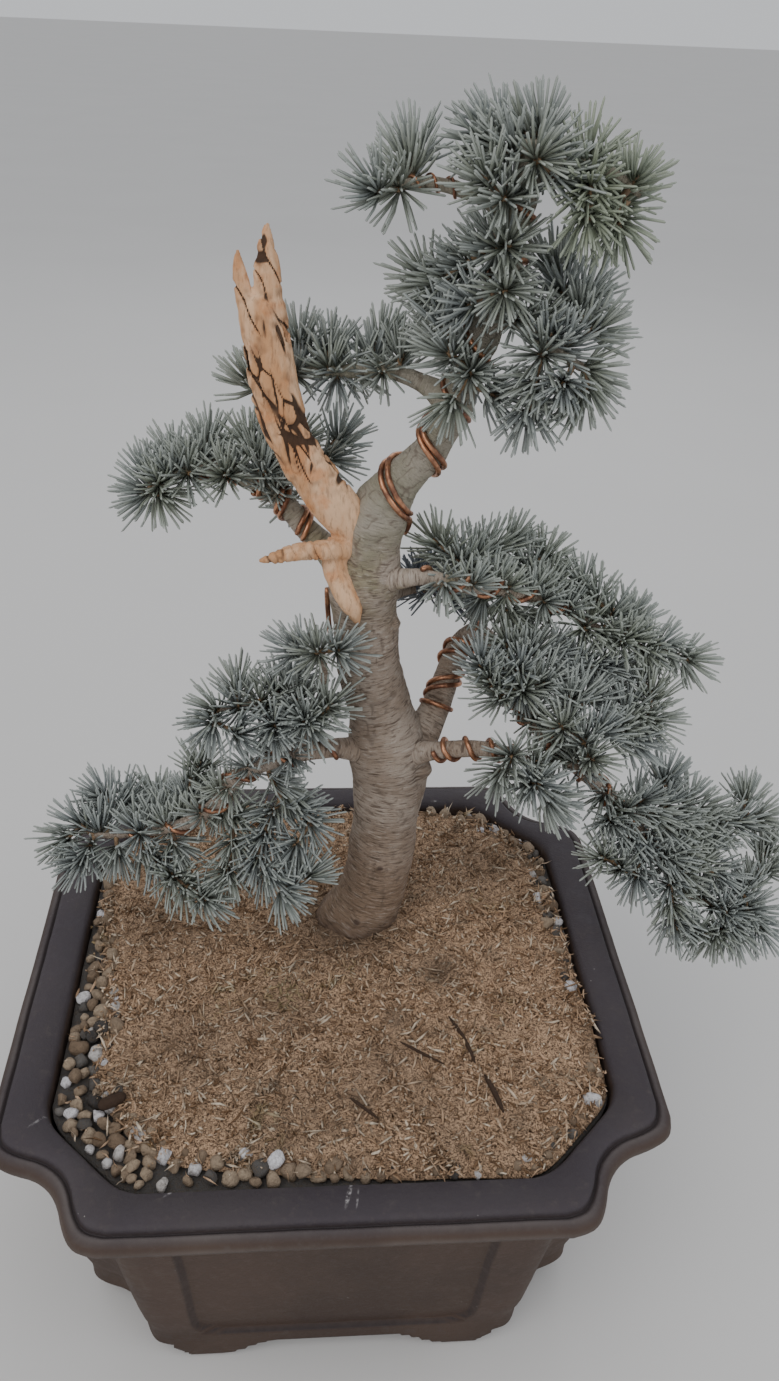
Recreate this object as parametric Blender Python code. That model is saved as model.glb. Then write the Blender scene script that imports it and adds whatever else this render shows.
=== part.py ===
"""Blue atlas cedar bonsai, trained with copper wire, in a square stoneware pot with indented corners.

Metres, +Z up. The origin is on the table, under the middle of the whole plant's outline, and the pot stands
off it at POT_X, POT_Y because the tree spreads further to the right than to the left. Every route of the tree
is measured from the pot's middle, with its height taken from the rim. A route point is x, y, z, radius.
"""

import math

import bmesh
import bpy
import numpy as np
from mathutils import Vector

POT_X = -0.0433
POT_Y = 0.0
RIM_Z = 0.145

TOUCH_GAP = 0.0003
CUT_GAP = 0.0005
WIRE_RADIUS = 0.0012
FINE_WIRE_RADIUS = 0.0006

# The pot, as half widths of its square plan.
LIP_HALF = 0.152
MOUTH_HALF = 0.127
CORNER_CUT = 0.30
CORNER_DIP = 0.066
MOUTH_CORNER_CUT = 0.30
MOUTH_MARK = 0.045
EDGE_ROUNDING = 0.06
FLOOR_TOP = 0.0225
FLOOR_UNDER = 0.0105
PANEL_DEPTH = 0.0018
PANEL_EDGE = 0.0020
FOOT_RING_HALF = 0.0980
FOOT_RING_MARK = 0.055
DRAIN_RADIUS = 0.022
DRAIN_SIDES = 24
DRAIN_CUT = 0.090

# Outer surface from the sole ring up to the ledge: half width, height, half width of the sunk panel.
OUTSIDE = (
    (0.1010, 0.0000, 0.060),
    (0.1150, 0.0000, 0.060),
    (0.1185, 0.0035, 0.060),
    (0.1165, 0.0095, 0.060),
    (0.1175, 0.0160, 0.060),
    (0.1195, 0.0215, 0.060),
    (0.1205, 0.0240, -0.060),
    (0.1240, 0.0330, -0.067),
    (0.1275, 0.0560, -0.069),
    (0.1315, 0.0860, -0.070),
    (0.1355, 0.1160, -0.070),
    (0.1365, 0.1200, 0.070),
    (0.1440, 0.1270, 0.072),
    (0.1500, 0.1310, 0.074),
    (0.1520, 0.1360, 0.075),
    (0.1500, 0.1412, 0.074),
    (0.1460, 0.1425, 0.072),
    (0.1445, 0.1415, 0.071),
    (0.1425, 0.1447, 0.070),
    (0.1405, 0.1450, 0.070),
)
# Inner surface from the ledge down to the floor: half width, height.
INSIDE = (
    (0.1290, 0.1450),
    (0.1270, 0.1430),
    (0.1262, 0.1300),
    (0.1215, 0.0850),
    (0.1120, 0.0450),
    (0.1000, 0.0280),
    (0.0880, FLOOR_TOP),
)
# Half of the opening between two feet, from its foot end up to the middle.
FOOT_ARCH = (
    (0.0540, -0.0050),
    (0.0520, 0.0000),
    (0.0480, 0.0015),
    (0.0440, 0.0055),
    (0.0395, 0.0090),
    (0.0330, 0.0100),
)

# Screen over the drain hole and the wire staple that holds it.
SCREEN_HALF = 0.028
SCREEN_CELLS = 9
SCREEN_THICK = 0.0012
STAPLE_X = SCREEN_HALF * 6 / SCREEN_CELLS
STAPLE_Y = SCREEN_HALF * 2 / SCREEN_CELLS
STAPLE_END = 0.033
STAPLE_TOP = 0.0265
STAPLE_RADIUS = 0.0008
STAPLE_BEND = 0.0015
# The space that the mix leaves free round the screen and the staple: width, depth, height.
SCREEN_ROOM = (0.072, 0.060, 0.012)

# Growing mix and moss, with heights from the rim.
MIX_EDGE = -0.0065
MIX_RISE = 0.0050
MOUND_FALL = 1.6
# Low waves over the ground: height, turns a metre along x and y in radians, and where they start.
GROUND_WAVE = 0.0006
GROUND_WAVE_X = 90
GROUND_WAVE_Y = 75
GROUND_WAVE_START = 0.6
MOSS_THICK = 0.0060
MOSS_EDGE_THICK = 0.0030
MOSS_BARE_EDGE = 0.11
MOSS_BARE_HEADING = math.radians(205)
MOSS_WANDER = 0.008
MOSS_WANDERS = 9
WALL_GAP = 0.0006
GROUND_RINGS = (0.985, 0.80, 0.50, 0.22)
MOSS_LIFT = 0.0009

TRUNK_SIDES = 10
BRANCH_SIDES = 7
JIN_SIDES = 8
WIRE_SIDES = 4
WIRE_STEPS_A_TURN = 7

TRUNK = (
    (0.0140, 0.0320, -0.0450, 0.0180),
    (0.0130, 0.0310, -0.0180, 0.0220),
    (0.0130, 0.0300, -0.0040, 0.0205),
    (0.0195, 0.0310, 0.0120, 0.0175),
    (0.0245, 0.0315, 0.0330, 0.0168),
    (0.0265, 0.0320, 0.0550, 0.0170),
    (0.0280, 0.0330, 0.0770, 0.0172),
    (0.0285, 0.0340, 0.0980, 0.0182),
    (0.0260, 0.0340, 0.1140, 0.0180),
    (0.0220, 0.0340, 0.1320, 0.0162),
    (0.0160, 0.0330, 0.1570, 0.0150),
    (0.0130, 0.0320, 0.1930, 0.0155),
    (0.0145, 0.0305, 0.2170, 0.0145),
    (0.0185, 0.0290, 0.2330, 0.0125),
    (0.0245, 0.0280, 0.2445, 0.0095),
    (0.0310, 0.0275, 0.2525, 0.0080),
    (0.0385, 0.0270, 0.2615, 0.0076),
    (0.0470, 0.0250, 0.2830, 0.0070),
    (0.0540, 0.0230, 0.3040, 0.0065),
    (0.0575, 0.0220, 0.3190, 0.0060),
    (0.0610, 0.0200, 0.3330, 0.0056),
    (0.0630, 0.0180, 0.3500, 0.0052),
    (0.0650, 0.0160, 0.3640, 0.0047),
    (0.0660, 0.0145, 0.3760, 0.0036),
)
ROOT_HEADINGS = tuple(math.radians(a) for a in (195, 262, 335, 50, 120))
ROOT_SWELL = 0.34
ROOT_WIDTH = 0.42
ROOT_TOP = 0.022

# The dead stub: its plank-like shaft, its two prongs, the side spur and the bare strip down the trunk.
JIN_DEPTH = 0.62
JIN_SHAFT = (
    (0.0120, 0.0260, 0.2220, 0.0090),
    (-0.0010, 0.0240, 0.2380, 0.0098),
    (-0.0085, 0.0240, 0.2490, 0.0096),
    (-0.0155, 0.0240, 0.2590, 0.0093),
    (-0.0234, 0.0250, 0.2790, 0.0098),
    (-0.0273, 0.0260, 0.3020, 0.0094),
    (-0.0290, 0.0270, 0.3160, 0.0090),
    (-0.0290, 0.0273, 0.3200, 0.0060),
)
JIN_PRONGS = (
    (
        (-0.0262, 0.0262, 0.3060, 0.0050),
        (-0.0265, 0.0272, 0.3220, 0.0054),
        (-0.0270, 0.0280, 0.3340, 0.0044),
        (-0.0266, 0.0285, 0.3450, 0.0008),
    ),
    (
        (-0.0330, 0.0262, 0.3040, 0.0032),
        (-0.0356, 0.0272, 0.3200, 0.0034),
        (-0.0370, 0.0278, 0.3290, 0.0026),
        (-0.0375, 0.0280, 0.3360, 0.0007),
    ),
)
JIN_SPUR = (
    (0.0060, 0.0240, 0.2180, 0.0048),
    (-0.0020, 0.0190, 0.2195, 0.0044),
    (-0.0150, 0.0160, 0.2200, 0.0038),
    (-0.0250, 0.0135, 0.2185, 0.0028),
    (-0.0320, 0.0120, 0.2175, 0.0008),
)
JIN_STRIP = (
    (0.0020, 0.0230, 0.2220, 0.0055),
    (-0.0005, 0.0215, 0.2120, 0.0055),
    (0.0030, 0.0180, 0.2020, 0.0052),
    (0.0075, 0.0165, 0.1930, 0.0042),
    (0.0098, 0.0165, 0.1855, 0.0010),
)

BRANCHES = {
    "left_low": (
        (0.0220, 0.0300, 0.1080, 0.0058),
        (0.0100, 0.0260, 0.1125, 0.0050),
        (-0.0040, 0.0220, 0.1155, 0.0045),
        (-0.0230, 0.0180, 0.1140, 0.0043),
        (-0.0440, 0.0160, 0.1050, 0.0041),
        (-0.0570, 0.0130, 0.0880, 0.0037),
        (-0.0750, 0.0140, 0.0760, 0.0030),
        (-0.0980, 0.0180, 0.0690, 0.0022),
        (-0.1150, 0.0200, 0.0660, 0.0014),
    ),
    "left_middle": (
        (-0.0150, 0.0205, 0.1150, 0.0030),
        (-0.0135, 0.0225, 0.1280, 0.0026),
        (-0.0220, 0.0235, 0.1370, 0.0023),
        (-0.0380, 0.0210, 0.1410, 0.0018),
        (-0.0520, 0.0180, 0.1400, 0.0012),
    ),
    "left_twig": (
        (-0.0135, 0.0225, 0.1280, 0.0022),
        (-0.0065, 0.0215, 0.1440, 0.0019),
        (-0.0045, 0.0160, 0.1600, 0.0016),
        (-0.0055, 0.0150, 0.1730, 0.0011),
    ),
    "left_top": (
        (0.0090, 0.0340, 0.2000, 0.0062),
        (-0.0040, 0.0460, 0.2080, 0.0056),
        (-0.0140, 0.0500, 0.2170, 0.0050),
        (-0.0230, 0.0540, 0.2270, 0.0047),
        (-0.0350, 0.0560, 0.2350, 0.0042),
        (-0.0520, 0.0560, 0.2400, 0.0034),
        (-0.0680, 0.0550, 0.2380, 0.0024),
        (-0.0780, 0.0520, 0.2320, 0.0015),
    ),
    "upper_left": (
        (0.0470, 0.0260, 0.2800, 0.0046),
        (0.0330, 0.0350, 0.2860, 0.0036),
        (0.0200, 0.0385, 0.2890, 0.0031),
        (0.0030, 0.0400, 0.2880, 0.0027),
        (-0.0150, 0.0430, 0.2860, 0.0022),
        (-0.0340, 0.0450, 0.2810, 0.0014),
    ),
    "mid_right": (
        (0.0560, 0.0215, 0.3140, 0.0042),
        (0.0640, 0.0160, 0.3165, 0.0033),
        (0.0740, 0.0110, 0.3110, 0.0027),
        (0.0850, 0.0070, 0.3040, 0.0020),
        (0.0920, 0.0060, 0.3010, 0.0013),
    ),
    "apex_left": (
        (0.0620, 0.0180, 0.3530, 0.0034),
        (0.0460, 0.0220, 0.3580, 0.0027),
        (0.0300, 0.0220, 0.3610, 0.0022),
        (0.0160, 0.0180, 0.3590, 0.0014),
    ),
    "apex_right": (
        (0.0640, 0.0160, 0.3620, 0.0032),
        (0.0780, 0.0120, 0.3690, 0.0026),
        (0.0920, 0.0100, 0.3680, 0.0020),
        (0.1040, 0.0080, 0.3610, 0.0013),
    ),
    "right_upper": (
        (0.0160, 0.0300, 0.2020, 0.0052),
        (0.0270, 0.0215, 0.2050, 0.0042),
        (0.0360, 0.0200, 0.2065, 0.0035),
        (0.0470, 0.0210, 0.2040, 0.0033),
        (0.0580, 0.0240, 0.2000, 0.0031),
        (0.0750, 0.0330, 0.1940, 0.0028),
        (0.0980, 0.0400, 0.1840, 0.0024),
        (0.1220, 0.0400, 0.1710, 0.0019),
        (0.1480, 0.0340, 0.1620, 0.0012),
    ),
    "right_arching": (
        (0.0280, 0.0330, 0.1000, 0.0100),
        (0.0390, 0.0355, 0.1095, 0.0082),
        (0.0450, 0.0385, 0.1165, 0.0072),
        (0.0514, 0.0450, 0.1270, 0.0065),
        (0.0586, 0.0570, 0.1419, 0.0060),
        (0.0630, 0.0610, 0.1492, 0.0058),
        (0.0689, 0.0610, 0.1554, 0.0055),
        (0.0745, 0.0550, 0.1549, 0.0052),
        (0.0793, 0.0470, 0.1484, 0.0050),
        (0.0838, 0.0400, 0.1404, 0.0048),
        (0.0898, 0.0330, 0.1318, 0.0046),
        (0.1080, 0.0200, 0.1150, 0.0042),
        (0.1300, 0.0165, 0.0950, 0.0037),
        (0.1520, 0.0120, 0.0710, 0.0032),
        (0.1700, 0.0060, 0.0480, 0.0026),
        (0.1850, 0.0010, 0.0350, 0.0020),
        (0.2020, -0.0010, 0.0290, 0.0013),
    ),
    "right_far": (
        (0.1465, 0.0132, 0.0775, 0.0029),
        (0.1700, 0.0170, 0.0740, 0.0024),
        (0.1900, 0.0190, 0.0730, 0.0019),
        (0.2130, 0.0200, 0.0690, 0.0013),
    ),
    "right_lower": (
        (0.0310, 0.0310, 0.1080, 0.0062),
        (0.0400, 0.0235, 0.1120, 0.0050),
        (0.0470, 0.0175, 0.1170, 0.0042),
        (0.0590, 0.0120, 0.1220, 0.0040),
        (0.0720, 0.0080, 0.1240, 0.0036),
        (0.0840, 0.0030, 0.1240, 0.0026),
        (0.0950, 0.0000, 0.1190, 0.0015),
    ),
    "back": (
        (0.0160, 0.0360, 0.1740, 0.0048),
        (0.0240, 0.0530, 0.1780, 0.0036),
        (0.0360, 0.0650, 0.1780, 0.0030),
        (0.0520, 0.0730, 0.1730, 0.0018),
    ),
}
FROM_BRANCH = {"left_middle": "left_low", "left_twig": "left_middle", "right_far": "right_arching"}

# Foliage pads: the wood that carries each, and the tips of its shoots.
PADS = {
    "left_low": (
        "left_low",
        ((-0.117, 0.014, 0.064), (-0.123, 0.026, 0.070), (-0.108, 0.031, 0.072), (-0.091, 0.016, 0.060)),
        ((-0.095, 0.021, 0.072), (-0.075, 0.023, 0.076), (-0.091, 0.044, 0.072), (-0.069, 0.028, 0.084)),
        ((-0.064, 0.034, 0.098), (-0.076, 0.001, 0.056), (-0.060, -0.011, 0.052), (-0.050, -0.002, 0.060)),
        ((-0.045, 0.015, 0.082), (-0.029, 0.014, 0.084), (-0.023, 0.021, 0.090), (-0.010, 0.010, 0.080)),
        ((-0.012, -0.004, 0.060), (-0.024, -0.012, 0.056), (-0.036, 0.000, 0.068), (-0.018, 0.002, 0.074)),
    ),
    "left_middle": (
        "left_middle",
        ((-0.054, 0.017, 0.140), (-0.044, 0.030, 0.146), (-0.033, 0.020, 0.144), (-0.026, 0.008, 0.138)),
        ((-0.014, 0.010, 0.140), (-0.018, 0.032, 0.148)),
    ),
    "left_twig": ("left_twig", ((-0.013, 0.012, 0.174), (0.000, 0.004, 0.170), (-0.006, 0.006, 0.180))),
    "left_top": (
        "left_top",
        ((-0.075, 0.050, 0.230), (-0.080, 0.059, 0.236), (-0.070, 0.067, 0.242), (-0.055, 0.074, 0.246)),
        ((-0.047, 0.049, 0.240), (-0.062, 0.051, 0.240), (-0.038, 0.070, 0.248), (-0.030, 0.052, 0.240)),
        ((-0.015, 0.068, 0.248), (-0.002, 0.064, 0.242), (0.003, 0.070, 0.250)),
    ),
    "upper_left": (
        "upper_left",
        ((0.000, 0.039, 0.286), (-0.014, 0.048, 0.286), (-0.015, 0.053, 0.296), (0.009, 0.041, 0.288)),
        ((0.026, 0.044, 0.294), (0.020, 0.057, 0.296), (-0.003, 0.049, 0.294), (-0.036, 0.046, 0.282)),
    ),
    "mid_right": (
        "mid_right",
        ((0.074, 0.014, 0.316), (0.096, 0.012, 0.314), (0.083, 0.024, 0.326), (0.095, 0.028, 0.322)),
        ((0.074, 0.004, 0.306), (0.083, 0.000, 0.296), (0.093, 0.006, 0.300), (0.081, 0.028, 0.334)),
    ),
    "leader_front": (
        "trunk",
        ((0.047, 0.012, 0.322), (0.037, 0.022, 0.326), (0.059, 0.006, 0.328), (0.059, 0.006, 0.344)),
        ((0.053, 0.024, 0.338), (0.031, 0.032, 0.328), (0.043, 0.010, 0.286), (0.041, 0.014, 0.304)),
        ((0.040, 0.040, 0.306), (0.060, 0.012, 0.288)),
    ),
    "apex_left": (
        "apex_left",
        ((0.020, 0.018, 0.359), (0.012, 0.016, 0.359), (0.026, 0.034, 0.370), (0.024, 0.026, 0.366)),
    ),
    "apex_right": (
        "apex_right",
        ((0.090, 0.018, 0.375), (0.097, 0.014, 0.370), (0.102, 0.010, 0.362), (0.103, 0.004, 0.356)),
        ((0.088, 0.000, 0.358), (0.089, 0.004, 0.367), (0.109, 0.020, 0.362)),
    ),
    "apex": (
        "trunk",
        ((0.049, 0.006, 0.369), (0.048, 0.022, 0.380), (0.053, 0.026, 0.385), (0.055, 0.002, 0.364)),
        ((0.064, 0.004, 0.377), (0.062, 0.028, 0.383), (0.070, 0.026, 0.386)),
    ),
    "right_upper": (
        "right_upper",
        ((0.054, 0.042, 0.205), (0.065, 0.050, 0.204), (0.067, 0.040, 0.197), (0.083, 0.060, 0.204)),
        ((0.098, 0.058, 0.198), (0.114, 0.052, 0.189), (0.095, 0.044, 0.188), (0.130, 0.044, 0.177)),
        ((0.154, 0.036, 0.163), (0.141, 0.048, 0.170), (0.166, 0.030, 0.159), (0.116, 0.036, 0.172)),
        ((0.133, 0.032, 0.168), (0.077, 0.038, 0.188)),
    ),
    "right_lower": (
        "right_lower",
        ((0.080, -0.002, 0.127), (0.074, -0.006, 0.120), (0.092, -0.010, 0.118), (0.098, -0.010, 0.108)),
    ),
    "right_far": (
        "right_arching",
        ((0.134, 0.006, 0.082), (0.129, -0.006, 0.070), (0.151, 0.016, 0.087), (0.165, 0.026, 0.092)),
        ((0.179, 0.024, 0.081), (0.166, 0.010, 0.074), (0.165, -0.006, 0.052), (0.182, 0.004, 0.058)),
        ((0.195, 0.016, 0.071), (0.209, 0.026, 0.079), (0.205, -0.002, 0.044), (0.189, -0.016, 0.027)),
        ((0.168, -0.018, 0.035), (0.216, -0.010, 0.024), (0.220, 0.014, 0.059)),
    ),
    "right_middle": (
        "right_arching",
        ((0.065, 0.016, 0.166), (0.083, 0.020, 0.160), (0.097, 0.018, 0.154), (0.119, 0.018, 0.145)),
        ((0.136, 0.018, 0.141), (0.102, 0.004, 0.140), (0.122, 0.006, 0.136), (0.118, 0.000, 0.124)),
        ((0.141, 0.008, 0.128), (0.107, 0.012, 0.150)),
    ),
    "back": ("back", ((0.040, 0.064, 0.182), (0.050, 0.076, 0.182), (0.060, 0.074, 0.170), (0.044, 0.080, 0.172))),
}
TIP_REACH = 0.0165
STEM_REACH = 0.0100
BEAD_STEP = 0.010
PAD_VOXEL = 0.0050
PAD_FACES = 90

# Copper wire: the wood it is wound on, its radius, and how many turns it has made at shares of the wood's length.
COILS = {
    "wire_leader_a": (
        "trunk",
        WIRE_RADIUS,
        ((0.625, 0.53), (0.655, 0.45), (0.673, 0.19), (0.727, -0.80), (0.831, -2.79)),
        ((0.880, -3.61), (0.925, -5.05), (0.972, -6.30)),
    ),
    "wire_leader_b": ("trunk", WIRE_RADIUS, ((0.661, 0.46), (0.680, 0.19), (0.734, -0.80), (0.760, -1.30))),
    "wire_trunk": ("trunk", WIRE_RADIUS, ((0.430, 0.74), (0.500, 0.985), (0.556, 0.975))),
    "wire_left_top_a": ("left_top", WIRE_RADIUS, ((0.270, 0.17), (0.800, 4.17))),
    "wire_left_top_b": ("left_top", WIRE_RADIUS, ((0.300, 0.17), (0.560, 2.13))),
    "wire_left_low": ("left_low", WIRE_RADIUS, ((0.150, 0.19), (0.880, 5.40))),
    "wire_right_upper": ("right_upper", WIRE_RADIUS, ((0.160, 0.05), (0.270, -0.75), (0.700, -4.00))),
    "wire_right_arching_a": (
        "right_arching",
        WIRE_RADIUS,
        ((0.125, -0.20), (0.136, 0.80), (0.205, 1.80), (0.350, 3.90), (0.725, 9.05), (0.900, 11.4)),
    ),
    "wire_right_arching_b": (
        "right_arching",
        WIRE_RADIUS,
        ((0.150, 0.80), (0.223, 1.80), (0.298, 2.60), (0.370, 3.60), (0.44, 4.60)),
    ),
    "wire_right_lower": ("right_lower", WIRE_RADIUS, ((0.330, 0.15), (0.400, 1.15), (0.550, 2.15), (0.800, 3.9))),
    "wire_apex_left": ("apex_left", FINE_WIRE_RADIUS, ((0.450, 0.00), (0.820, 2.60))),
}
# A coil never advances the whole wood's length in fewer turns' worth of steps than this.
LEAST_TURNS = 12
# The room for a coil inside a pad runs on past both ends, by a share of the wood's length, and stands off it.
SLEEVE_ENDS = 0.03
SLEEVE_RINGS = 11
SLEEVE_GAP = 0.0016

# Colour, roughness, metallic.
FINISHES = {
    "stoneware": ((0.060, 0.052, 0.055, 1.0), 0.75, 0.0),
    "plastic": ((0.020, 0.020, 0.022, 1.0), 0.60, 0.0),
    "mix": ((0.300, 0.230, 0.150, 1.0), 0.95, 0.0),
    "moss": ((0.340, 0.230, 0.125, 1.0), 0.95, 0.0),
    "bark": ((0.160, 0.130, 0.095, 1.0), 0.90, 0.0),
    "deadwood": ((0.560, 0.330, 0.180, 1.0), 0.80, 0.0),
    "needles": ((0.210, 0.300, 0.290, 1.0), 0.60, 0.0),
    "copper": ((0.480, 0.200, 0.100, 1.0), 0.40, 1.0),
}


def clear_scene():
    for item in list(bpy.data.objects):
        bpy.data.objects.remove(item, do_unlink=True)


def add_empty(name, location, parent=None):
    empty = bpy.data.objects.new(name, None)
    empty.location = location
    empty.parent = parent
    bpy.context.collection.objects.link(empty)
    return empty


def add_object(name, bm, parent, finish=None):
    """An object from a bmesh, with its own material, or a hidden cutter where no finish is given."""
    mesh = bpy.data.meshes.new(name)
    bmesh.ops.recalc_face_normals(bm, faces=bm.faces)
    bm.to_mesh(mesh)
    bm.free()
    obj = bpy.data.objects.new(name, mesh)
    obj.parent = parent
    bpy.context.collection.objects.link(obj)
    if finish:
        obj.data.materials.append(make_material(name, *FINISHES[finish]))
    else:
        obj.hide_render = True
        obj.display_type = "WIRE"
    return obj


def make_material(name, colour, roughness, metallic):
    material = bpy.data.materials.new(name + "_finish")
    material.use_nodes = True
    shader = material.node_tree.nodes["Principled BSDF"]
    shader.inputs["Base Color"].default_value = colour
    shader.inputs["Roughness"].default_value = roughness
    shader.inputs["Metallic"].default_value = metallic
    material.diffuse_color = colour
    return material


def shade(obj, angle=40):
    obj.data.shade_smooth()
    obj.data.set_sharp_from_angle(angle=math.radians(angle))


def settle(obj):
    """Replaces an object's mesh with the result of its modifiers."""
    bpy.context.view_layer.update()
    graph = bpy.context.evaluated_depsgraph_get()
    mesh = bpy.data.meshes.new_from_object(obj.evaluated_get(graph))
    obj.modifiers.clear()
    obj.data = mesh


def boolean(obj, other, operation, solver="EXACT"):
    modifier = obj.modifiers.new(operation.title(), "BOOLEAN")
    modifier.operation = operation
    modifier.object = other
    modifier.solver = solver
    settle(obj)


def boxes_meet(first, second):
    a = np.array([v.co for v in first.data.vertices])
    b = np.array([v.co for v in second.data.vertices])
    return bool((a.min(0) < b.max(0)).all() and (b.min(0) < a.max(0)).all())


def keep_largest_piece(obj):
    """Drops the crumbs that a cut leaves behind."""
    bm = bmesh.new()
    bm.from_mesh(obj.data)
    unseen = set(bm.faces)
    pieces = []
    while unseen:
        front = [unseen.pop()]
        piece = [front[0]]
        while front:
            for edge in front.pop().edges:
                for other in edge.link_faces:
                    if other in unseen:
                        unseen.discard(other)
                        piece.append(other)
                        front.append(other)
        pieces.append(piece)
    pieces.sort(key=lambda piece: sum(face.calc_area() for face in piece))
    for piece in pieces[:-1]:
        bmesh.ops.delete(bm, geom=piece, context="FACES")
    bm.to_mesh(obj.data)
    bm.free()


def grown(obj, by):
    """A hidden copy of an object, larger by this much all over, that cuts a gap round it."""
    bm = bmesh.new()
    bm.from_mesh(obj.data)
    bm.normal_update()
    normals = [v.normal.copy() for v in bm.verts]
    for vert, normal in zip(bm.verts, normals):
        vert.co += normal * by
    return add_object(obj.name + "_room", bm, obj.parent)


def smooth_route(route, steps):
    """A Catmull-Rom curve through the route's points, as an array of x, y, z, radius."""
    points = np.array(route, float)
    before = np.vstack([2 * points[0] - points[1], points[:-1]])
    after = np.vstack([points[2:], 2 * points[-1] - points[-2]])
    found = []
    for i in range(len(points) - 1):
        p0, p1, p2, p3 = before[i], points[i], points[i + 1], after[i]
        for t in np.arange(steps) / steps:
            a = 2 * p1 + (p2 - p0) * t
            b = (2 * p0 - 5 * p1 + 4 * p2 - p3) * t**2
            c = (3 * p1 - p0 - 3 * p2 + p3) * t**3
            found.append(0.5 * (a + b + c))
    found.append(points[-1])
    return np.array(found)


def frames_along(points):
    """At each point of a route, two directions across it that turn as little as possible on the way."""
    ahead = np.gradient(points, axis=0)
    ahead /= np.linalg.norm(ahead, axis=1)[:, None]
    side = np.cross(ahead[0], (0.0, 1.0, 0.0))
    sides = []
    for direction in ahead:
        side = side - direction * (side @ direction)
        side = side / np.linalg.norm(side)
        sides.append(side)
    sides = np.array(sides)
    return sides, np.cross(ahead, sides)


def skin(rings):
    """A closed bmesh over rings of equal length, with a fan of triangles over each end."""
    bm = bmesh.new()
    loops = [[bm.verts.new(point) for point in ring] for ring in rings]
    count = len(loops[0])
    first = bm.verts.new(np.mean(np.array(rings[0], float), axis=0))
    last = bm.verts.new(np.mean(np.array(rings[-1], float), axis=0))
    for i in range(count):
        j = (i + 1) % count
        for low, high in zip(loops, loops[1:]):
            bm.faces.new((low[i], low[j], high[j], high[i]))
        bm.faces.new((loops[0][j], loops[0][i], first))
        bm.faces.new((loops[-1][i], loops[-1][j], last))
    bmesh.ops.triangulate(bm, faces=bm.faces)
    return bm


def tube(route, sides, flatten=1.0, swell=None):
    """A tapered round solid along a smoothed route. flatten narrows it across, and swell shapes each point."""
    across, out = frames_along(route[:, :3])
    rings = []
    for centre, radius, u, w in zip(route[:, :3], route[:, 3], across, out):
        ring = []
        for k in range(sides):
            turn = 2 * math.pi * k / sides
            reach = radius * (u * math.cos(turn) + w * flatten * math.sin(turn))
            if swell:
                reach = reach * swell(centre, reach)
            ring.append(centre + reach)
        rings.append(ring)
    return skin(rings)


def pot_outline(half, panel, dip, cut=CORNER_CUT):
    """The pot's plan at one height. A negative panel half width sinks the panel into each face."""
    sunk = PANEL_DEPTH if panel < 0 else 0.0
    inner = abs(panel)
    notch = half * cut
    rounding = half * EDGE_ROUNDING
    middle = half - notch / 2 - half * dip
    eased = half - rounding / 3
    side = [
        (half - notch - rounding, -half),
        (half - notch + rounding / 3, -eased),
        (middle, -middle),
        (eased, notch - half - rounding / 3),
        (half, notch - half + rounding),
    ]
    if panel:
        side = [
            (-inner - PANEL_EDGE, -half),
            (-inner, sunk - half),
            (inner, sunk - half),
            (inner + PANEL_EDGE, -half),
            *side,
        ]
    outline = []
    for quarter in range(4):
        c, s = math.cos(quarter * math.pi / 2), math.sin(quarter * math.pi / 2)
        outline += [(c * x - s * y, s * x + c * y) for x, y in side]
    return outline


def mouth_outline(half, panel=0.0):
    return pot_outline(half, panel, 0.0, MOUTH_CORNER_CUT)


def at_height(outline, z):
    return [(x, y, z) for x, y in outline]


def foot_arch_cutter(name, quarter, parent):
    """A bar through the whole pot whose section is the opening between two feet."""
    section = [*FOOT_ARCH, *((-x, z) for x, z in reversed(FOOT_ARCH))]
    rings = []
    for end in (-2 * LIP_HALF, 2 * LIP_HALF):
        ring = []
        for x, z in section:
            ring.append((x, end, z) if quarter == 0 else (end, -x, z))
        rings.append(ring)
    return add_object(name, skin(rings), parent)


def make_pot(parent):
    rings = [at_height(pot_outline(FOOT_RING_HALF, FOOT_RING_MARK, CORNER_DIP), FLOOR_UNDER)]
    rings += [at_height(pot_outline(half, panel, CORNER_DIP), z) for half, z, panel in OUTSIDE]
    rings += [at_height(mouth_outline(half, MOUTH_MARK), z) for half, z in INSIDE]
    pot = add_object("pot", skin(rings), parent, "stoneware")
    for quarter in range(2):
        boolean(pot, foot_arch_cutter(f"foot_arch_{quarter}", quarter, parent), "DIFFERENCE")
    bm = bmesh.new()
    bmesh.ops.create_cone(
        bm,
        cap_ends=True,
        segments=DRAIN_SIDES,
        radius1=DRAIN_RADIUS,
        radius2=DRAIN_RADIUS,
        depth=DRAIN_CUT,
    )
    boolean(pot, add_object("drain_cutter", bm, parent), "DIFFERENCE")
    shade(pot)
    return pot


def make_screen(parent):
    """The plastic mesh over the drain hole: a plate with a square hole in every second cell."""
    bm = bmesh.new()
    bmesh.ops.create_grid(bm, x_segments=SCREEN_CELLS, y_segments=SCREEN_CELLS, size=SCREEN_HALF)
    cell = 2 * SCREEN_HALF / SCREEN_CELLS
    holes = []
    for face in bm.faces:
        middle = face.calc_center_median()
        column = int((middle.x + SCREEN_HALF) / cell)
        row = int((middle.y + SCREEN_HALF) / cell)
        if column % 2 and row % 2:
            holes.append(face)
    bmesh.ops.delete(bm, geom=holes, context="FACES")
    for vert in bm.verts:
        vert.co.z = FLOOR_TOP + TOUCH_GAP
    screen = add_object("drain_screen", bm, parent, "plastic")
    solidify = screen.modifiers.new("Thickness", "SOLIDIFY")
    solidify.thickness = SCREEN_THICK
    solidify.offset = 1.0
    return screen


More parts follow.
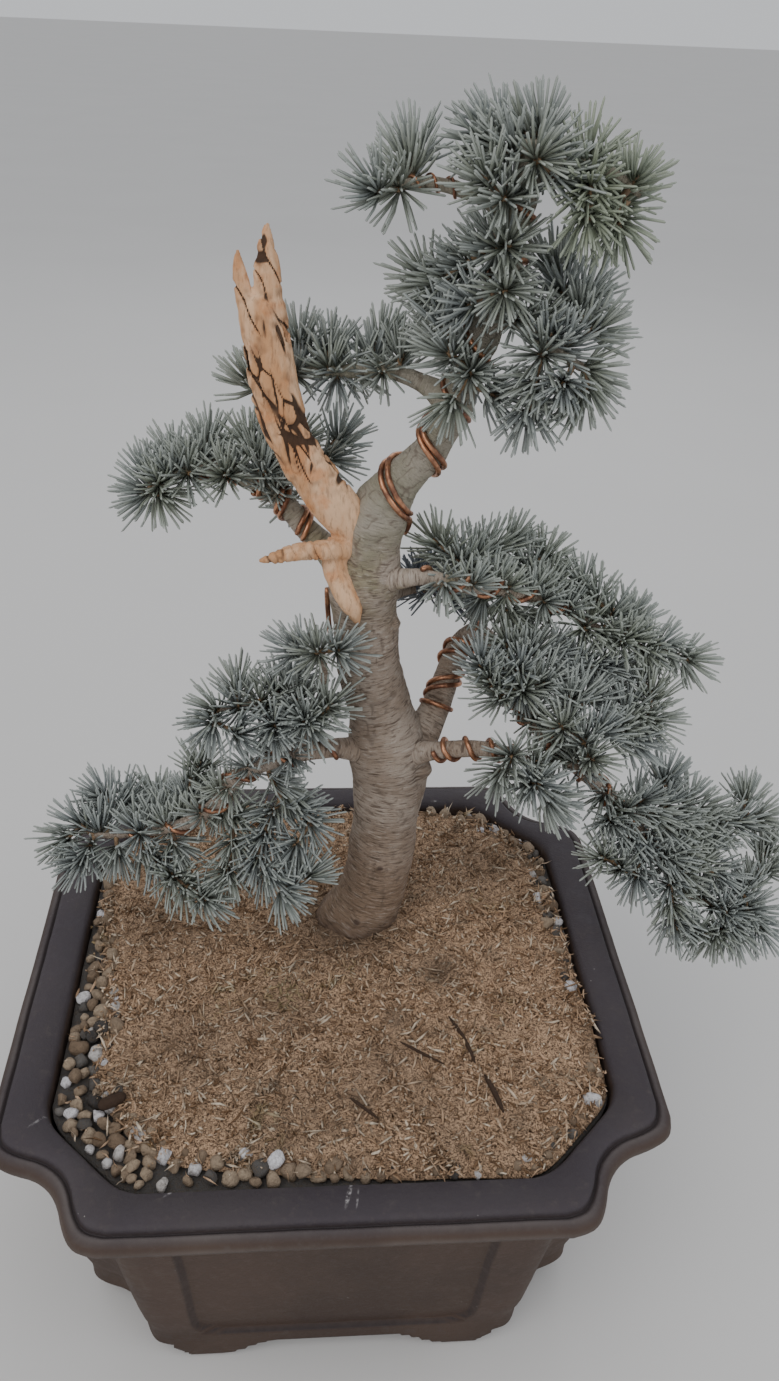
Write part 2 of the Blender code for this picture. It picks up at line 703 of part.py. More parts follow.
def make_staple(parent):
    """The bent wire that holds the screen: up through the drain hole, over the screen, and out underneath."""
    under = FLOOR_UNDER - 2 * TOUCH_GAP - STAPLE_RADIUS
    half = ((STAPLE_END, under), (STAPLE_X + STAPLE_BEND, under), (STAPLE_X, under + STAPLE_BEND))
    half += ((STAPLE_X, STAPLE_TOP - STAPLE_BEND), (STAPLE_X - STAPLE_BEND, STAPLE_TOP))
    route = [(-x, STAPLE_Y, z, STAPLE_RADIUS) for x, z in half]
    route += [(x, STAPLE_Y, z, STAPLE_RADIUS) for x, z in reversed(half)]
    return add_object("screen_staple", tube(smooth_route(route, 2), WIRE_SIDES), parent, "copper")


def make_screen_room(parent):
    """The space over the drain hole that the growing mix stays out of."""
    bm = bmesh.new()
    bmesh.ops.create_cube(bm, size=1.0)
    bmesh.ops.scale(bm, vec=Vector(SCREEN_ROOM), verts=bm.verts)
    bmesh.ops.translate(bm, vec=Vector((0.0, 0.0, FLOOR_TOP - RIM_Z)), verts=bm.verts)
    return add_object("screen_room", bm, parent)


def ground(x, y):
    """Height of the growing mix, from the rim: nearly level, with a low mound round the trunk."""
    reach = math.hypot(x - TRUNK[2][0], y - TRUNK[2][1]) / MOUTH_HALF
    waves = GROUND_WAVE * math.sin(GROUND_WAVE_X * x + GROUND_WAVE_START) * math.cos(GROUND_WAVE_Y * y)
    return MIX_EDGE + MIX_RISE * math.exp(-MOUND_FALL * reach**2) + waves


def scaled(outline, by, lift):
    return [(x * by, y * by, ground(x * by, y * by) + lift) for x, y in outline]


def make_mix(parent, hollow, trunk_room):
    """The growing mix: it fills the pot from the floor to just under the rim."""
    rings = [at_height(mouth_outline(half - WALL_GAP), z + WALL_GAP - RIM_Z) for half, z in reversed(INSIDE[3:])]
    top = mouth_outline(INSIDE[2][0] - WALL_GAP)
    rings += [scaled(top, share, 0.0) for share in (1.0, *GROUND_RINGS[1:])]
    mix = add_object("growing_mix", skin(rings), parent, "mix")
    boolean(mix, hollow, "DIFFERENCE")
    boolean(mix, trunk_room, "DIFFERENCE")
    shade(mix)
    return mix


def moss_outline():
    """The moss stops short of the wall along the left side and the front-left corner, where the grit shows."""
    found = []
    for x, y in mouth_outline(INSIDE[2][0] - WALL_GAP):
        heading = math.atan2(y, x)
        facing = max(0.0, math.cos(heading - MOSS_BARE_HEADING))
        share = 1.0 - MOSS_BARE_EDGE * facing**2 - MOSS_WANDER * math.sin(MOSS_WANDERS * heading) * facing
        found.append((x * share, y * share))
    return found


def make_moss(parent, trunk_room):
    outline = moss_outline()
    rings = [scaled(outline, share, MOSS_LIFT) for share in reversed(GROUND_RINGS)]
    rings += [scaled(outline, 1.0, MOSS_LIFT + MOSS_EDGE_THICK * 0.5)]
    rings += [scaled(outline, GROUND_RINGS[0], MOSS_LIFT + MOSS_EDGE_THICK)]
    rings += [scaled(outline, share, MOSS_THICK) for share in GROUND_RINGS[1:]]
    moss = add_object("moss_dressing", skin(rings), parent, "moss")
    boolean(moss, trunk_room, "DIFFERENCE")
    shade(moss)
    return moss


def root_swell(centre, reach):
    """How far the trunk's base spreads into its surface roots, by height and heading."""
    low = min(1.0, max(0.0, (ROOT_TOP - centre[2]) / (2 * ROOT_TOP)))
    heading = math.atan2(reach[1], reach[0])
    swell = 0.0
    for root in ROOT_HEADINGS:
        off = math.remainder(heading - root, 2 * math.pi)
        swell += math.exp(-((off / ROOT_WIDTH) ** 2))
    return 1.0 + ROOT_SWELL * swell * low**2


def make_trunk(parent):
    trunk = add_object("trunk", tube(smooth_route(TRUNK, 2), TRUNK_SIDES, swell=root_swell), parent, "bark")
    shade(trunk, 60)
    return trunk


def make_jin(parent, trunk_room):
    """The dead stub with its two prongs, side spur and the bare strip that lies on the trunk."""
    jin = add_object("jin", tube(np.array(JIN_SHAFT), JIN_SIDES, JIN_DEPTH), parent, "deadwood")
    arms = [(route, JIN_DEPTH) for route in JIN_PRONGS] + [(JIN_SPUR, 1.0), (JIN_STRIP, 0.7)]
    for number, (route, flatten) in enumerate(arms):
        arm = add_object(f"jin_arm_{number}", tube(np.array(route), JIN_SIDES, flatten), parent)
        boolean(jin, arm, "UNION")
    boolean(jin, trunk_room, "DIFFERENCE")
    keep_largest_piece(jin)
    shade(jin, 50)
    return jin


def make_branches(parent, trunk_room):
    """Every branch, cut square to the wood that it grows from with a hairline gap."""
    rooms = {"trunk": trunk_room}
    made = {}
    for name, route in BRANCHES.items():
        branch = add_object("branch_" + name, tube(smooth_route(route, 2), BRANCH_SIDES), parent, "bark")
        boolean(branch, rooms[FROM_BRANCH.get(name, "trunk")], "DIFFERENCE")
        keep_largest_piece(branch)
        shade(branch, 60)
        rooms[name] = grown(branch, CUT_GAP)
        made[name] = branch
    return made, rooms


def wood_route(wood):
    return TRUNK if wood == "trunk" else BRANCHES[wood]


def wood_at(wood, shares):
    """The wood's middle line with its radius, and two directions across it, at shares of its length."""
    route = smooth_route(wood_route(wood), 8)
    across, out = frames_along(route[:, :3])
    steps = np.linalg.norm(np.diff(route[:, :3], axis=0), axis=1)
    along = np.concatenate([[0.0], np.cumsum(steps)])
    return [
        np.column_stack([np.interp(np.array(shares) * along[-1], along, column) for column in line.T])
        for line in (route, across, out)
    ]


def winding(rows):
    """Shares of the wood's length, and the turns made by then, from a coil's rows of stops."""
    stops = np.array([stop for row in rows for stop in row])
    return stops[:, 0], stops[:, 1]


def make_coil(name, wood, radius, rows, parent):
    """Wire wound on a piece of wood."""
    shares, turns = winding(rows)
    pace = np.maximum(np.abs(np.diff(turns)), np.diff(shares) * LEAST_TURNS)
    travel = np.concatenate([[0.0], np.cumsum(pace)])
    steps = np.linspace(0.0, travel[-1], math.ceil(travel[-1] * WIRE_STEPS_A_TURN) + 1)
    angles = 2 * math.pi * np.interp(steps, travel, turns)
    chord = np.cos(np.abs(np.gradient(angles)) / 2)
    centres, across, out = wood_at(wood, np.interp(steps, travel, shares))
    reach = ((centres[:, 3] + radius + TOUCH_GAP) / chord)[:, None]
    points = centres[:, :3] + reach * (across * np.cos(angles)[:, None] + out * np.sin(angles)[:, None])
    route = np.column_stack([points, np.full(len(points), radius)])
    coil = add_object(name, tube(route, WIRE_SIDES), parent, "copper")
    shade(coil, 80)
    return coil


def wire_sleeve(name, wood, radius, rows, parent):
    """The room that a wound stretch of wire takes inside a foliage pad."""
    shares, _ = winding(rows)
    spots = np.linspace(shares[0] - SLEEVE_ENDS, shares[-1] + SLEEVE_ENDS, SLEEVE_RINGS)
    centres, _, _ = wood_at(wood, spots)
    # The wire and this tube both have flat sides, which cut inside the true circle.
    centres[:, 3] = (centres[:, 3] + 2 * radius + SLEEVE_GAP) / math.cos(math.pi / WIRE_STEPS_A_TURN) ** 2
    return add_object(name + "_room", tube(centres, BRANCH_SIDES), parent)


def add_bead(bm, centre, radius):
    made = bmesh.ops.create_icosphere(bm, subdivisions=2, radius=radius)
    bmesh.ops.translate(bm, vec=Vector(centre), verts=made["verts"])


def make_pad(name, wood, tips, parent):
    """A foliage pad: one lumpy solid that reaches to the needle ends round each shoot."""
    route = smooth_route(wood_route(wood), 4)[:, :3]
    bm = bmesh.new()
    roots = []
    for tip in tips:
        tip = np.array(tip)
        nearest = int(np.argmin(np.linalg.norm(route - tip, axis=1)))
        roots.append(nearest)
        stem = tip - route[nearest]
        beads = max(1, round(float(np.linalg.norm(stem)) / BEAD_STEP))
        for k in range(beads):
            add_bead(bm, route[nearest] + stem * k / beads, STEM_REACH)
        add_bead(bm, tip, TIP_REACH)
    for k in range(min(roots), max(roots) + 1):
        add_bead(bm, route[k], STEM_REACH)
    pad = add_object("foliage_" + name, bm, parent, "needles")
    remesh = pad.modifiers.new("Skin", "REMESH")
    remesh.mode = "VOXEL"
    remesh.voxel_size = PAD_VOXEL
    settle(pad)
    thin = pad.modifiers.new("Thin", "DECIMATE")
    thin.ratio = min(1.0, PAD_FACES / (2 * len(pad.data.polygons)))
    settle(pad)
    return pad


def make_pads(parent, wood_rooms):
    """Each pad is cut clear of the wood, the wire and the pads made before it."""
    rooms = list(wood_rooms)
    made = []
    for name, (wood, *rows) in PADS.items():
        tips = [tip for row in rows for tip in (row if isinstance(row[0], tuple) else (row,))]
        pad = make_pad(name, wood, tips, parent)
        for room in rooms:
            if boxes_meet(pad, room):
                boolean(pad, room, "DIFFERENCE", "MANIFOLD")
        keep_largest_piece(pad)
        shade(pad, 60)
        pad.data.materials.clear()
        pad.data.materials.append(make_material(pad.name, *FINISHES["needles"]))
        rooms.append(grown(pad, 2 * CUT_GAP))
        made.append(pad)
    return made


def main():
    clear_scene()
    on_table = add_empty("pot_middle", (POT_X, POT_Y, 0.0))
    at_rim = add_empty("rim_middle", (0.0, 0.0, RIM_Z), on_table)
    make_pot(on_table)
    make_screen(on_table)
    make_staple(on_table)
    trunk = make_trunk(at_rim)
    trunk_room = grown(trunk, CUT_GAP)
    make_mix(at_rim, make_screen_room(at_rim), trunk_room)
    make_moss(at_rim, trunk_room)
    jin = make_jin(at_rim, trunk_room)
    branches, wood_rooms = make_branches(at_rim, trunk_room)
    rooms = [*wood_rooms.values(), grown(jin, CUT_GAP)]
    for name, (wood, radius, *rows) in COILS.items():
        make_coil(name, wood, radius, rows, at_rim)
        rooms.append(wire_sleeve(name, wood, radius, rows, at_rim))
    make_pads(at_rim, rooms)


main()
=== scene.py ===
"""The look of a blue atlas cedar bonsai, wired with copper, in a square stoneware pot.

Metres, +Z up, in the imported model's frame. The tree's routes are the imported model's own: measured
from the pot's middle, with heights from the rim. A route point is x, y, z, radius.
"""

import math

import bmesh
import bpy
import numpy as np
from mathutils import Matrix, Vector

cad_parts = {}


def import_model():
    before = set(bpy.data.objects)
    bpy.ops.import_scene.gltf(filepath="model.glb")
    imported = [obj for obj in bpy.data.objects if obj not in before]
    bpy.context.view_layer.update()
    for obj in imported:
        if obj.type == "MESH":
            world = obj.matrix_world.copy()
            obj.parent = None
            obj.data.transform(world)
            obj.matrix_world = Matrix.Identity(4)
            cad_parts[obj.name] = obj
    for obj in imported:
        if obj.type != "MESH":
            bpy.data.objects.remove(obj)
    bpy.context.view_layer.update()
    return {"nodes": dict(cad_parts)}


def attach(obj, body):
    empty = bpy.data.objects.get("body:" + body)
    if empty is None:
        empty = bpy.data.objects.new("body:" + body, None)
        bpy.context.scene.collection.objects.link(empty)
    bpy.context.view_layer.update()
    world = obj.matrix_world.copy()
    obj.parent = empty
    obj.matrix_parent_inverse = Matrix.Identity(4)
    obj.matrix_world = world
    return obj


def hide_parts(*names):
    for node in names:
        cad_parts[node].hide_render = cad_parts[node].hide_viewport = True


BODY = "root"
POT_X = -0.0433
POT_Y = 0.0
RIM_Z = 0.145
RIM = np.array((POT_X, POT_Y, RIM_Z))
GOLDEN_TURN = math.pi * (3 - math.sqrt(5))

# The camera: where it stands from the rim's middle, its heading, its tilt down, its roll and its lens.
CAMERA_AT = (-0.0140, -0.4027, 0.4175)
CAMERA_YAW = 0.0924
CAMERA_PITCH = 0.5639
CAMERA_ROLL = 0.0461
SENSOR = 36.0
LENS = 28.78

# Branches that grow from another branch.
FROM_BRANCH = {"left_middle": "left_low", "left_twig": "left_middle", "right_far": "right_arching"}

# The pot, as half widths of its square plan, and heights from the table.
EDGE_ROUNDING = 0.06
CORNER_CUT = 0.30
CORNER_DIP = 0.066
MOUTH_CUT = 0.30
MOUTH_HALF = 0.127
MOUTH_MARK = 0.045
CORNER_ROUNDS = 3
SIDE_STEPS = 26
PROFILE_STEP = 0.0030
LIP_FOOT = 0.118
FOOT_TOP = 0.030
LIP_STEP = 0.0008
PROFILE_SOFTENING = 1
INSIDE_STEP = 0.006
PANEL_EDGE = 0.0020
PANEL_STATIONS = (2.0, 1.5, 1.0, 0.6, 0.2, -0.2, -0.6, -1.0, -1.5)
CORNER_STEPS = 6
PANEL_DEPTH = 0.0030
PANEL_CORNER = 0.013
PANEL_SLOPE = 0.0016
PANEL_FOOT = 0.0195
PANEL_TOP = 0.1210
POT_DEEP = 0.985
FOOT_RISE = 0.0125
FOOT_INNER = 0.0580
FOOT_ARCH_TOP = 0.0270
FOOT_OUTER = 0.0640
FOOT_END = 0.0820
FOOT_WAIST = 0.1166
FOOT_RING_HALF = 0.0980
FOOT_RING_MARK = 0.055
FLOOR_UNDER = 0.0105
FLOOR_TOP = 0.0225
DRAIN_RADIUS = 0.022
# Painted highlights along the crests of the lip and rim: half width and height of each crest, and how wide
# the highlight is.
HIGHLIGHT_CRESTS = ((0.1475, 0.1427), (0.1290, 0.1450), (0.1512, 0.1375))
HIGHLIGHT_WIDTH = 0.0014
# Where the painted shade in the lip's groove lies, and how wide it is.
GROOVE = (0.1452, 0.1410)
GROOVE_WIDTH = 0.0011
# Unevenness of the pot's wall, as size, seed and height, and the heights over which it fades in.
POT_LUMPS = ((0.034, 3, 0.00030), (0.009, 4, 0.00012))
POT_LUMPS_FADE = (0.030, 0.040)

# The growing mix and the moss, with heights from the rim.
MIX_EDGE = -0.0065
MIX_RISE = 0.0050
GROUND_WAVE = 0.0006
WAVES_ACROSS = 90
WAVES_DEEP = 75
WAVE_START = 0.6
MOUND_FALL = 1.6
MIX_RINGS = 44
MIX_INNERMOST = 0.05
MIX_UNDER = 0.0012
MIX_LUMPS = ((0.005, 11, 0.0012),)
MIX_TONE = 0.35
MOSS_THICK = 0.0060
MOSS_EDGE_THICK = 0.0030
MOSS_LIFT = 0.0009
MOSS_BARE_EDGE = 0.13
MOSS_BARE_HEADING = math.radians(212)
MOSS_BARE_BEHIND = math.radians(38)
MOSS_BARE_STRIP = 0.045
MOSS_STRAY = 0.07
MOSS_STRAY_REACH = 0.985
MOSS_INSET = 0.006
MOSS_WANDER = 0.014
MOSS_WANDER_SEED = 8
MOSS_WANDER_LEAST = 0.3
MOSS_ROUGH = 0.012
MOSS_OVERLAP = 1.004
# Unevenness of the moss, as size, seed and height.
MOSS_LUMPS = ((0.012, 21, 0.0013), (0.0048, 22, 0.0011))
# Random dark patches of the moss: size, seed, where they start and are full, how dark.
MOSS_PATCHES = ((0.026, 23, 0.1, 0.7, 0.35), (0.008, 24, 0.2, 0.7, 0.35))
WALL_GAP = 0.0006
GRAIN_SEED = 5
GRAIN_COUNT = 470
GRAIN_BARE = 0.02
GRAIN_DETAILED = 0.0030
GRAIN_SIZES = (0.0044, 0.0036, 0.0028, 0.0020)
GRAIN_SHARES = (0.10, 0.30, 0.65, 1.0)
AKADAMA, GRIT, PUMICE = 0.0, 0.5, 1.0
GRAIN_MIX = (0.60, 0.19, 0.21)
GRAIN_TRIES = 60
GRAIN_ELSEWHERE = 0.03
GRAIN_BAND = 0.055
GRAIN_LIFTS = (0.0, 0.45)
GRAIN_PROUD = 0.25
GRAIN_APART = 0.70
GRAIN_FACETS = 9
FACET_AT = (0.55, 0.85)
FACET_FLATNESS = 0.92
GRAIN_STRETCH = (0.75, 1.15)
GRAIN_LUMPS = (0.5, 0.10)
MOSS_SEED = 7
FLAKE_COUNT = 14000
FLAKE_STATIONS = (0.0, 0.55)
FLAKE_WIDTHS = (0.65, 1.0)
FLAKE_LENGTH = 0.0060
FLAKE_RADIUS = 0.00082
BED_SUNK = 0.0012
BED_RINGS_BELOW = 5
BED_RINGS = 50
MOSS_SLOPE = 0.08
FLAKE_TILT = 0.50
FLAKE_RISE = (-0.0006, 0.0012)
FLAKE_CURL = (0.4, 1.5)
FLAKE_SHORTEST = 0.40
FLAKE_SHORTNESS = 1.8
FLAKE_THINNEST = 0.4
TWIG_SHAPE = (0.35, 0.8, 1.0, 0.95, 1.0, 0.9, 0.85, 0.7, 0.3)
TWIG_BEND = 0.0015
TWIG_SIDES = 7
TRUNK_CLEAR = 0.021
TWIGS = (
    ((0.0680, -0.0752), (0.0737, -0.0951), 0.0014),
    ((0.0551, -0.0418), (0.0647, -0.0686), 0.0010),
    ((0.0308, -0.0559), (0.0507, -0.0687), 0.0007),
    ((0.0062, -0.0855), (0.0181, -0.0962), 0.0008),
    ((-0.1040, -0.0850), (-0.0930, -0.0790), 0.0032),
)

# Darker spots of the moss: place, radius, how dark.
MOSS_SPOTS = (
    ((0.0547, -0.0096), 0.011, 0.9),
    ((0.0072, -0.1164), 0.006, 0.8),
    ((0.0232, -0.0643), 0.012, 0.6),
    ((-0.0650, -0.0500), 0.030, 0.5),
    ((-0.0250, -0.0350), 0.024, 0.5),
    ((0.0080, 0.0220), 0.029, 1.0),
    ((-0.0850, 0.0300), 0.030, 0.5),
    ((0.0850, 0.0700), 0.028, 0.6),
    ((0.0300, -0.0420), 0.007, 0.8),
    ((0.0800, -0.1000), 0.006, 0.7),
)

# The wood.
TRUNK_STEPS = 17
TRUNK_SIDES = 112
BRANCH_STEPS = 12
BRANCH_SIDES = 20
BRANCH_SIDES_THICK = 36
THICK_BRANCH = 0.006
COLLAR_ON_TRUNK = 0.35
COLLAR_ON_BRANCH = 0.15
TRUNK_SEED = 31
BRANCH_SEED = 40
BRANCH_KNOT_SEED = 100
WRINKLE_LONG = 0.0085
WRINKLE_SHORT = 0.0011
WRINKLE_HIGH = 0.00018
CREASE_DEEP = 0.00030
CREASE_LIMIT = 0.8
CREASE_GAIN = 5
LUMP_HIGH = 0.00045
BARK_SMALL = 0.0035
BARK_FULL_RADIUS = 0.012
# The swelling where a branch leaves the trunk, as shares of its radius, and the hollow round a knot.
FORK_WIDTH = 2.2
FORK_RISE = 0.30
COLLAR_LENGTH = 2
COLLAR_FALL = 0.9
MOAT_AT = 1.7
MOAT_WIDTH = 0.5
MOAT_DEEP = 0.35
SMALL_KNOT = 0.0016
SMALL_KNOT_RISE = (0.0003, 0.0009)
SMALL_KNOT_DARK = 0.8
ROOT_HEADINGS = tuple(math.radians(a) for a in (195, 262, 335, 50, 120))
ROOT_SWELL = 0.34
ROOT_WIDTH = 0.42
ROOT_TOP = 0.022
# Knots, stubs of old twigs, and the callus round the dead wood: place, size, rise, how dark.
KNOTS = (
    ((0.0206, 0.0200, 0.2420), 0.0030, 0.0012, 1.0),
    ((0.0133, 0.0130, 0.0127), 0.0030, 0.0016, 1.0),
    ((0.0152, 0.0150, 0.0589), 0.0028, 0.0012, 1.0),
    ((0.0241, 0.0150, 0.0470), 0.0026, 0.0010, 1.0),
    ((0.0292, 0.0280, 0.1797), 0.0026, 0.0022, 0.6),
    ((0.0450, 0.0240, 0.1009), 0.0040, 0.0030, 0.6),
    ((0.0319, 0.0180, 0.2080), 0.0030, 0.0016, 1.0),
    ((0.0128, 0.0180, 0.2390), 0.0050, 0.0014, 0.0),
    ((0.0112, 0.0175, 0.2290), 0.0050, 0.0016, 0.0),
    ((0.0100, 0.0170, 0.2190), 0.0050, 0.0016, 0.0),
)

# The jin, with slots cut in it: place, direction, half sizes.
JIN_DEPTH = 0.62
STRIP_DEPTH = 0.7
JIN_STEPS = 5
JIN_SIDES = 28
JIN_SIDES_THIN = 20
JIN_VOXEL = 0.00055
JIN_SLOTS = (
    ((-0.0204, 0.0240, 0.2589), (-0.39, 0.0, 0.92), (0.0023, 0.012, 0.0085)),
    ((-0.0098, 0.0240, 0.2500), (-0.35, 0.0, 0.94), (0.0011, 0.012, 0.0078)),
    ((-0.0317, 0.0240, 0.2963), (-0.22, 0.0, 0.97), (0.0014, 0.012, 0.0068)),
    ((-0.0223, 0.0240, 0.3066), (-0.30, 0.0, 0.95), (0.0014, 0.012, 0.0046)),
)
# Cells between the winding cracks, along, across and through the wood: where there are many, and elsewhere.
JIN_WEB_DENSE = (0.0140, 0.0046, 0.0600)
JIN_WEB_SPARSE = (0.0360, 0.0064, 0.0600)
# Where the jin is most eaten: the shaft above its foot, and less so the spur.
SHAFT_FROM = (0.235, 0.252)
SPUR_BELOW = (0.226, 0.221)
SPUR_LEFT_OF = (0.004, -0.006)
BUSY_SPUR = 0.35
BUSY_LEAST = 0.25
DENSE_FOOT = (0.248, 0.258)
DENSE_TOP = (0.308, 0.294)
BREAKS_FADE = (-0.55, 0.05)
# How wide the cracks are, as shares of a cell: where they end and where they are full.
DENSE_WIDTH = (0.13, 0.03)
SPARSE_WIDTH = (0.12, 0.03)
JIN_WARP_SIZE = 0.010
JIN_WARP = 0.0016
JIN_WARP_SEEDS = (51, 52, 53)
JIN_WEB_SEEDS = (54, 55)
JIN_PITS = (0.0024, 56)
JIN_RIDGES = ((0.012, 0.0009, 0.0009), 57)
JIN_BREAKS = ((0.012, 0.006, 0.006), 58)
CRACK_DEEP = 0.0011
PIT_DEEP = 0.0002
RIDGE_HIGH = 0.00018

WIRE_SIDES = 10
WIRE_STEPS_A_TURN = 22
WIRE_PROUD = 0.80
WIRE_END = 0.85
WIRE_ROUTE_STEPS = 8
LEAST_TURNS = 12

# Needles, shoots and buds.
FOLIAGE_SEED = 200
NEEDLE_LENGTH = 0.0155
NEEDLE_RADIUS = 0.00064
NEEDLES_A_CLUSTER = 42
NEEDLE_TIGHT = 0.97
NEEDLE_WIDEST = -0.05
NEEDLE_NARROWEST = 0.40
NEEDLE_CURL = 0.26
NEEDLE_STRAY = 0.07
NEEDLE_BACK = (0.0020, 0.0070)
NEEDLE_STATIONS = (0.0, 0.48, 0.96)
NEEDLE_WIDTHS = (0.75, 1.0, 0.82)
NEEDLE_OUT = 0.0010
NEEDLE_LENGTHS = (0.82, 1.04)
NEEDLE_INNER_SHORT = 0.18
NEEDLE_THICKNESSES = (0.85, 1.12)
NEEDLE_LIFT_STRAY = 0.07
NEEDLE_TURN_STRAY = 0.15
TONE_STRAY = 0.12
# Single needles on the twigs between the clusters.
LONE_NEEDLE_STEP = 0.0018
LONE_LEAN = 0.7
LONE_CURL = 0.1
LONE_LENGTHS = (0.6, 0.85)
TIP_LEAN = (0.0, -0.30, 0.45)
TWIG_LEAST = 0.005
SHOOT_RADII = (0.0014, 0.0009)
SHOOT_SIDES = 6
BLADE_SIDES = 3
SPUR_STEP = 0.0066
SPUR_FREE = 0.004
SPUR_LENGTH = 0.003
SPUR_LIFT = (0.0, -0.1, 0.45)
TWIG_SPUR_LEAN = 0.5
TWIG_SPUR_SIZES = (0.80, 0.95)
WOOD_SPUR_LEAN = 0.15
WOOD_SPUR_SIZES = (0.75, 0.9)
TIP_STRAY = 0.12
SHOOT_POINTS = 7
SHOOT_SAG = 0.06
STOCK_STEPS = 6
INFILL_NEAR = 0.013
INFILL_FAR = 0.030
INFILL_APART = 0.0098
SPUR_LEAST_RISE = -0.15
CLUSTER_APART = 0.0056
BUD_PROFILE = ((-0.0030, 0.0009), (-0.0008, 0.0013), (0.0008, 0.0012), (0.0020, 0.0004))
YOUNG_PADS = {"apex_right": 0.40, "right_upper": 0.08, "left_top": 0.06}
# Painted shade on the pad behind the trunk, and how strong it is.
SHADED_PADS = {"back": 0.6}

# Colours.
STONE_DARK = (0.056, 0.036, 0.028, 1.0)
STONE_BROWN = (0.074, 0.048, 0.036, 1.0)
LEDGE_DARK = (0.048, 0.039, 0.046, 1.0)
LEDGE_PALE = (0.057, 0.047, 0.051, 1.0)
# Painted shade for the pot's grooves and panel edges.
STONE_RECESS_SHADE = (0.022, 0.019, 0.024, 1.0)
STONE_DUST = (0.105, 0.090, 0.084, 1.0)
# Painted highlight for the crests of the lip and rim.
STONE_HIGHLIGHT = (0.150, 0.130, 0.120, 1.0)
STONE_SPECK = (0.340, 0.320, 0.300, 1.0)
SCRATCH_COLOUR = (0.420, 0.400, 0.400, 1.0)
AKADAMA_DARK = (0.185, 0.130, 0.088, 1.0)
AKADAMA_PALE = (0.370, 0.290, 0.210, 1.0)
GRIT_DARK = (0.045, 0.042, 0.042, 1.0)
GRIT_PALE = (0.170, 0.160, 0.150, 1.0)
PUMICE_DARK = (0.480, 0.450, 0.420, 1.0)
PUMICE_PALE = (0.720, 0.710, 0.740, 1.0)
GRAIN_SHADE = (0.110, 0.080, 0.055, 1.0)
MOSS_DARK = (0.240, 0.140, 0.075, 1.0)
MOSS_TAN = (0.740, 0.500, 0.325, 1.0)
MOSS_PALE = (0.970, 0.820, 0.640, 1.0)
MOSS_GREY = (0.420, 0.370, 0.290, 1.0)
MOSS_GREEN = (0.480, 0.420, 0.200, 1.0)
# Painted shade for the gaps between the moss flakes.
MOSS_GAP_SHADE = (0.060, 0.034, 0.020, 1.0)
MOSS_SHADE = (0.170, 0.125, 0.090, 1.0)
TWIG_BROWN = (0.070, 0.045, 0.032, 1.0)
BARK_GREY = (0.420, 0.350, 0.290, 1.0)
BARK_BROWN = (0.300, 0.230, 0.175, 1.0)
# Warmer bark with painted shade, for the lower trunk.
BARK_WARM_SHADED = (0.260, 0.175, 0.115, 1.0)
BARK_OLIVE = (0.270, 0.265, 0.155, 1.0)
# Painted shade for the bark's creases.
BARK_CREASE_SHADE = (0.120, 0.085, 0.062, 1.0)
BARK_PALE = (0.600, 0.540, 0.480, 1.0)
BARK_KNOT = (0.085, 0.055, 0.042, 1.0)
BARK_BASE = (0.085, 0.052, 0.036, 1.0)
BARK_LEADER = (0.300, 0.290, 0.235, 1.0)
# Height where the lower trunk's warm colour and painted shade end.
BARK_SHADED_TOP = RIM_Z + 0.075
BARK_OLIVE_LOW = RIM_Z + 0.175
BARK_BASE_HIGH = 0.016
BARK_BASE_TOP = RIM_Z + BARK_BASE_HIGH
BARK_SMOOTH_LOW = RIM_Z + 0.205
BARK_CHANGE = 0.03
BARK_SQUEEZE = 5.5
DEAD_TAN = (0.580, 0.310, 0.155, 1.0)
DEAD_PALE = (0.780, 0.510, 0.320, 1.0)
DEAD_ORANGE = (0.620, 0.270, 0.115, 1.0)
DEAD_BROWN = (0.180, 0.095, 0.055, 1.0)
# Painted shade for the jin's cracks.
DEAD_CRACK_SHADE = (0.022, 0.013, 0.010, 1.0)
NEEDLE_BLUE = (0.262, 0.290, 0.290, 1.0)
NEEDLE_GREEN = (0.290, 0.316, 0.262, 1.0)
NEEDLE_PALE = (0.400, 0.432, 0.405, 1.0)
# Painted light for the needles' bases in the heart of each cluster.
NEEDLE_BASE_LIT = (0.330, 0.365, 0.290, 1.0)
NEEDLE_YOUNG = (0.300, 0.350, 0.190, 1.0)
# Painted shade for the pad behind the trunk.
NEEDLE_SHADE_BLUE = (0.060, 0.075, 0.140, 1.0)
SHOOT_BROWN = (0.180, 0.115, 0.070, 1.0)
SHOOT_TAN = (0.330, 0.215, 0.120, 1.0)
COPPER_BROWN = (0.210, 0.100, 0.065, 1.0)
COPPER_BRIGHT = (0.560, 0.280, 0.160, 1.0)
PLASTIC_BLACK = (0.020, 0.020, 0.022, 1.0)
# Pale marks on the rim: place, heading, half length, half width, strength.
SCRATCHES = (
    ((0.0040, -0.1310, 0.0), math.radians(75), 0.0075, 0.0012, 0.85),
    ((0.0075, -0.1330, 0.0), math.radians(82), 0.0060, 0.0006, 0.6),
    ((-0.0685, -0.1270, 0.0), math.radians(35), 0.0045, 0.0007, 0.7),
    ((-0.1290, -0.0910, 0.0), math.radians(40), 0.0060, 0.0008, 0.55),
    ((0.0656, 0.1280, 0.0), math.radians(10), 0.0025, 0.0012, 0.7),
)

SCRATCH_DEEP = 0.012

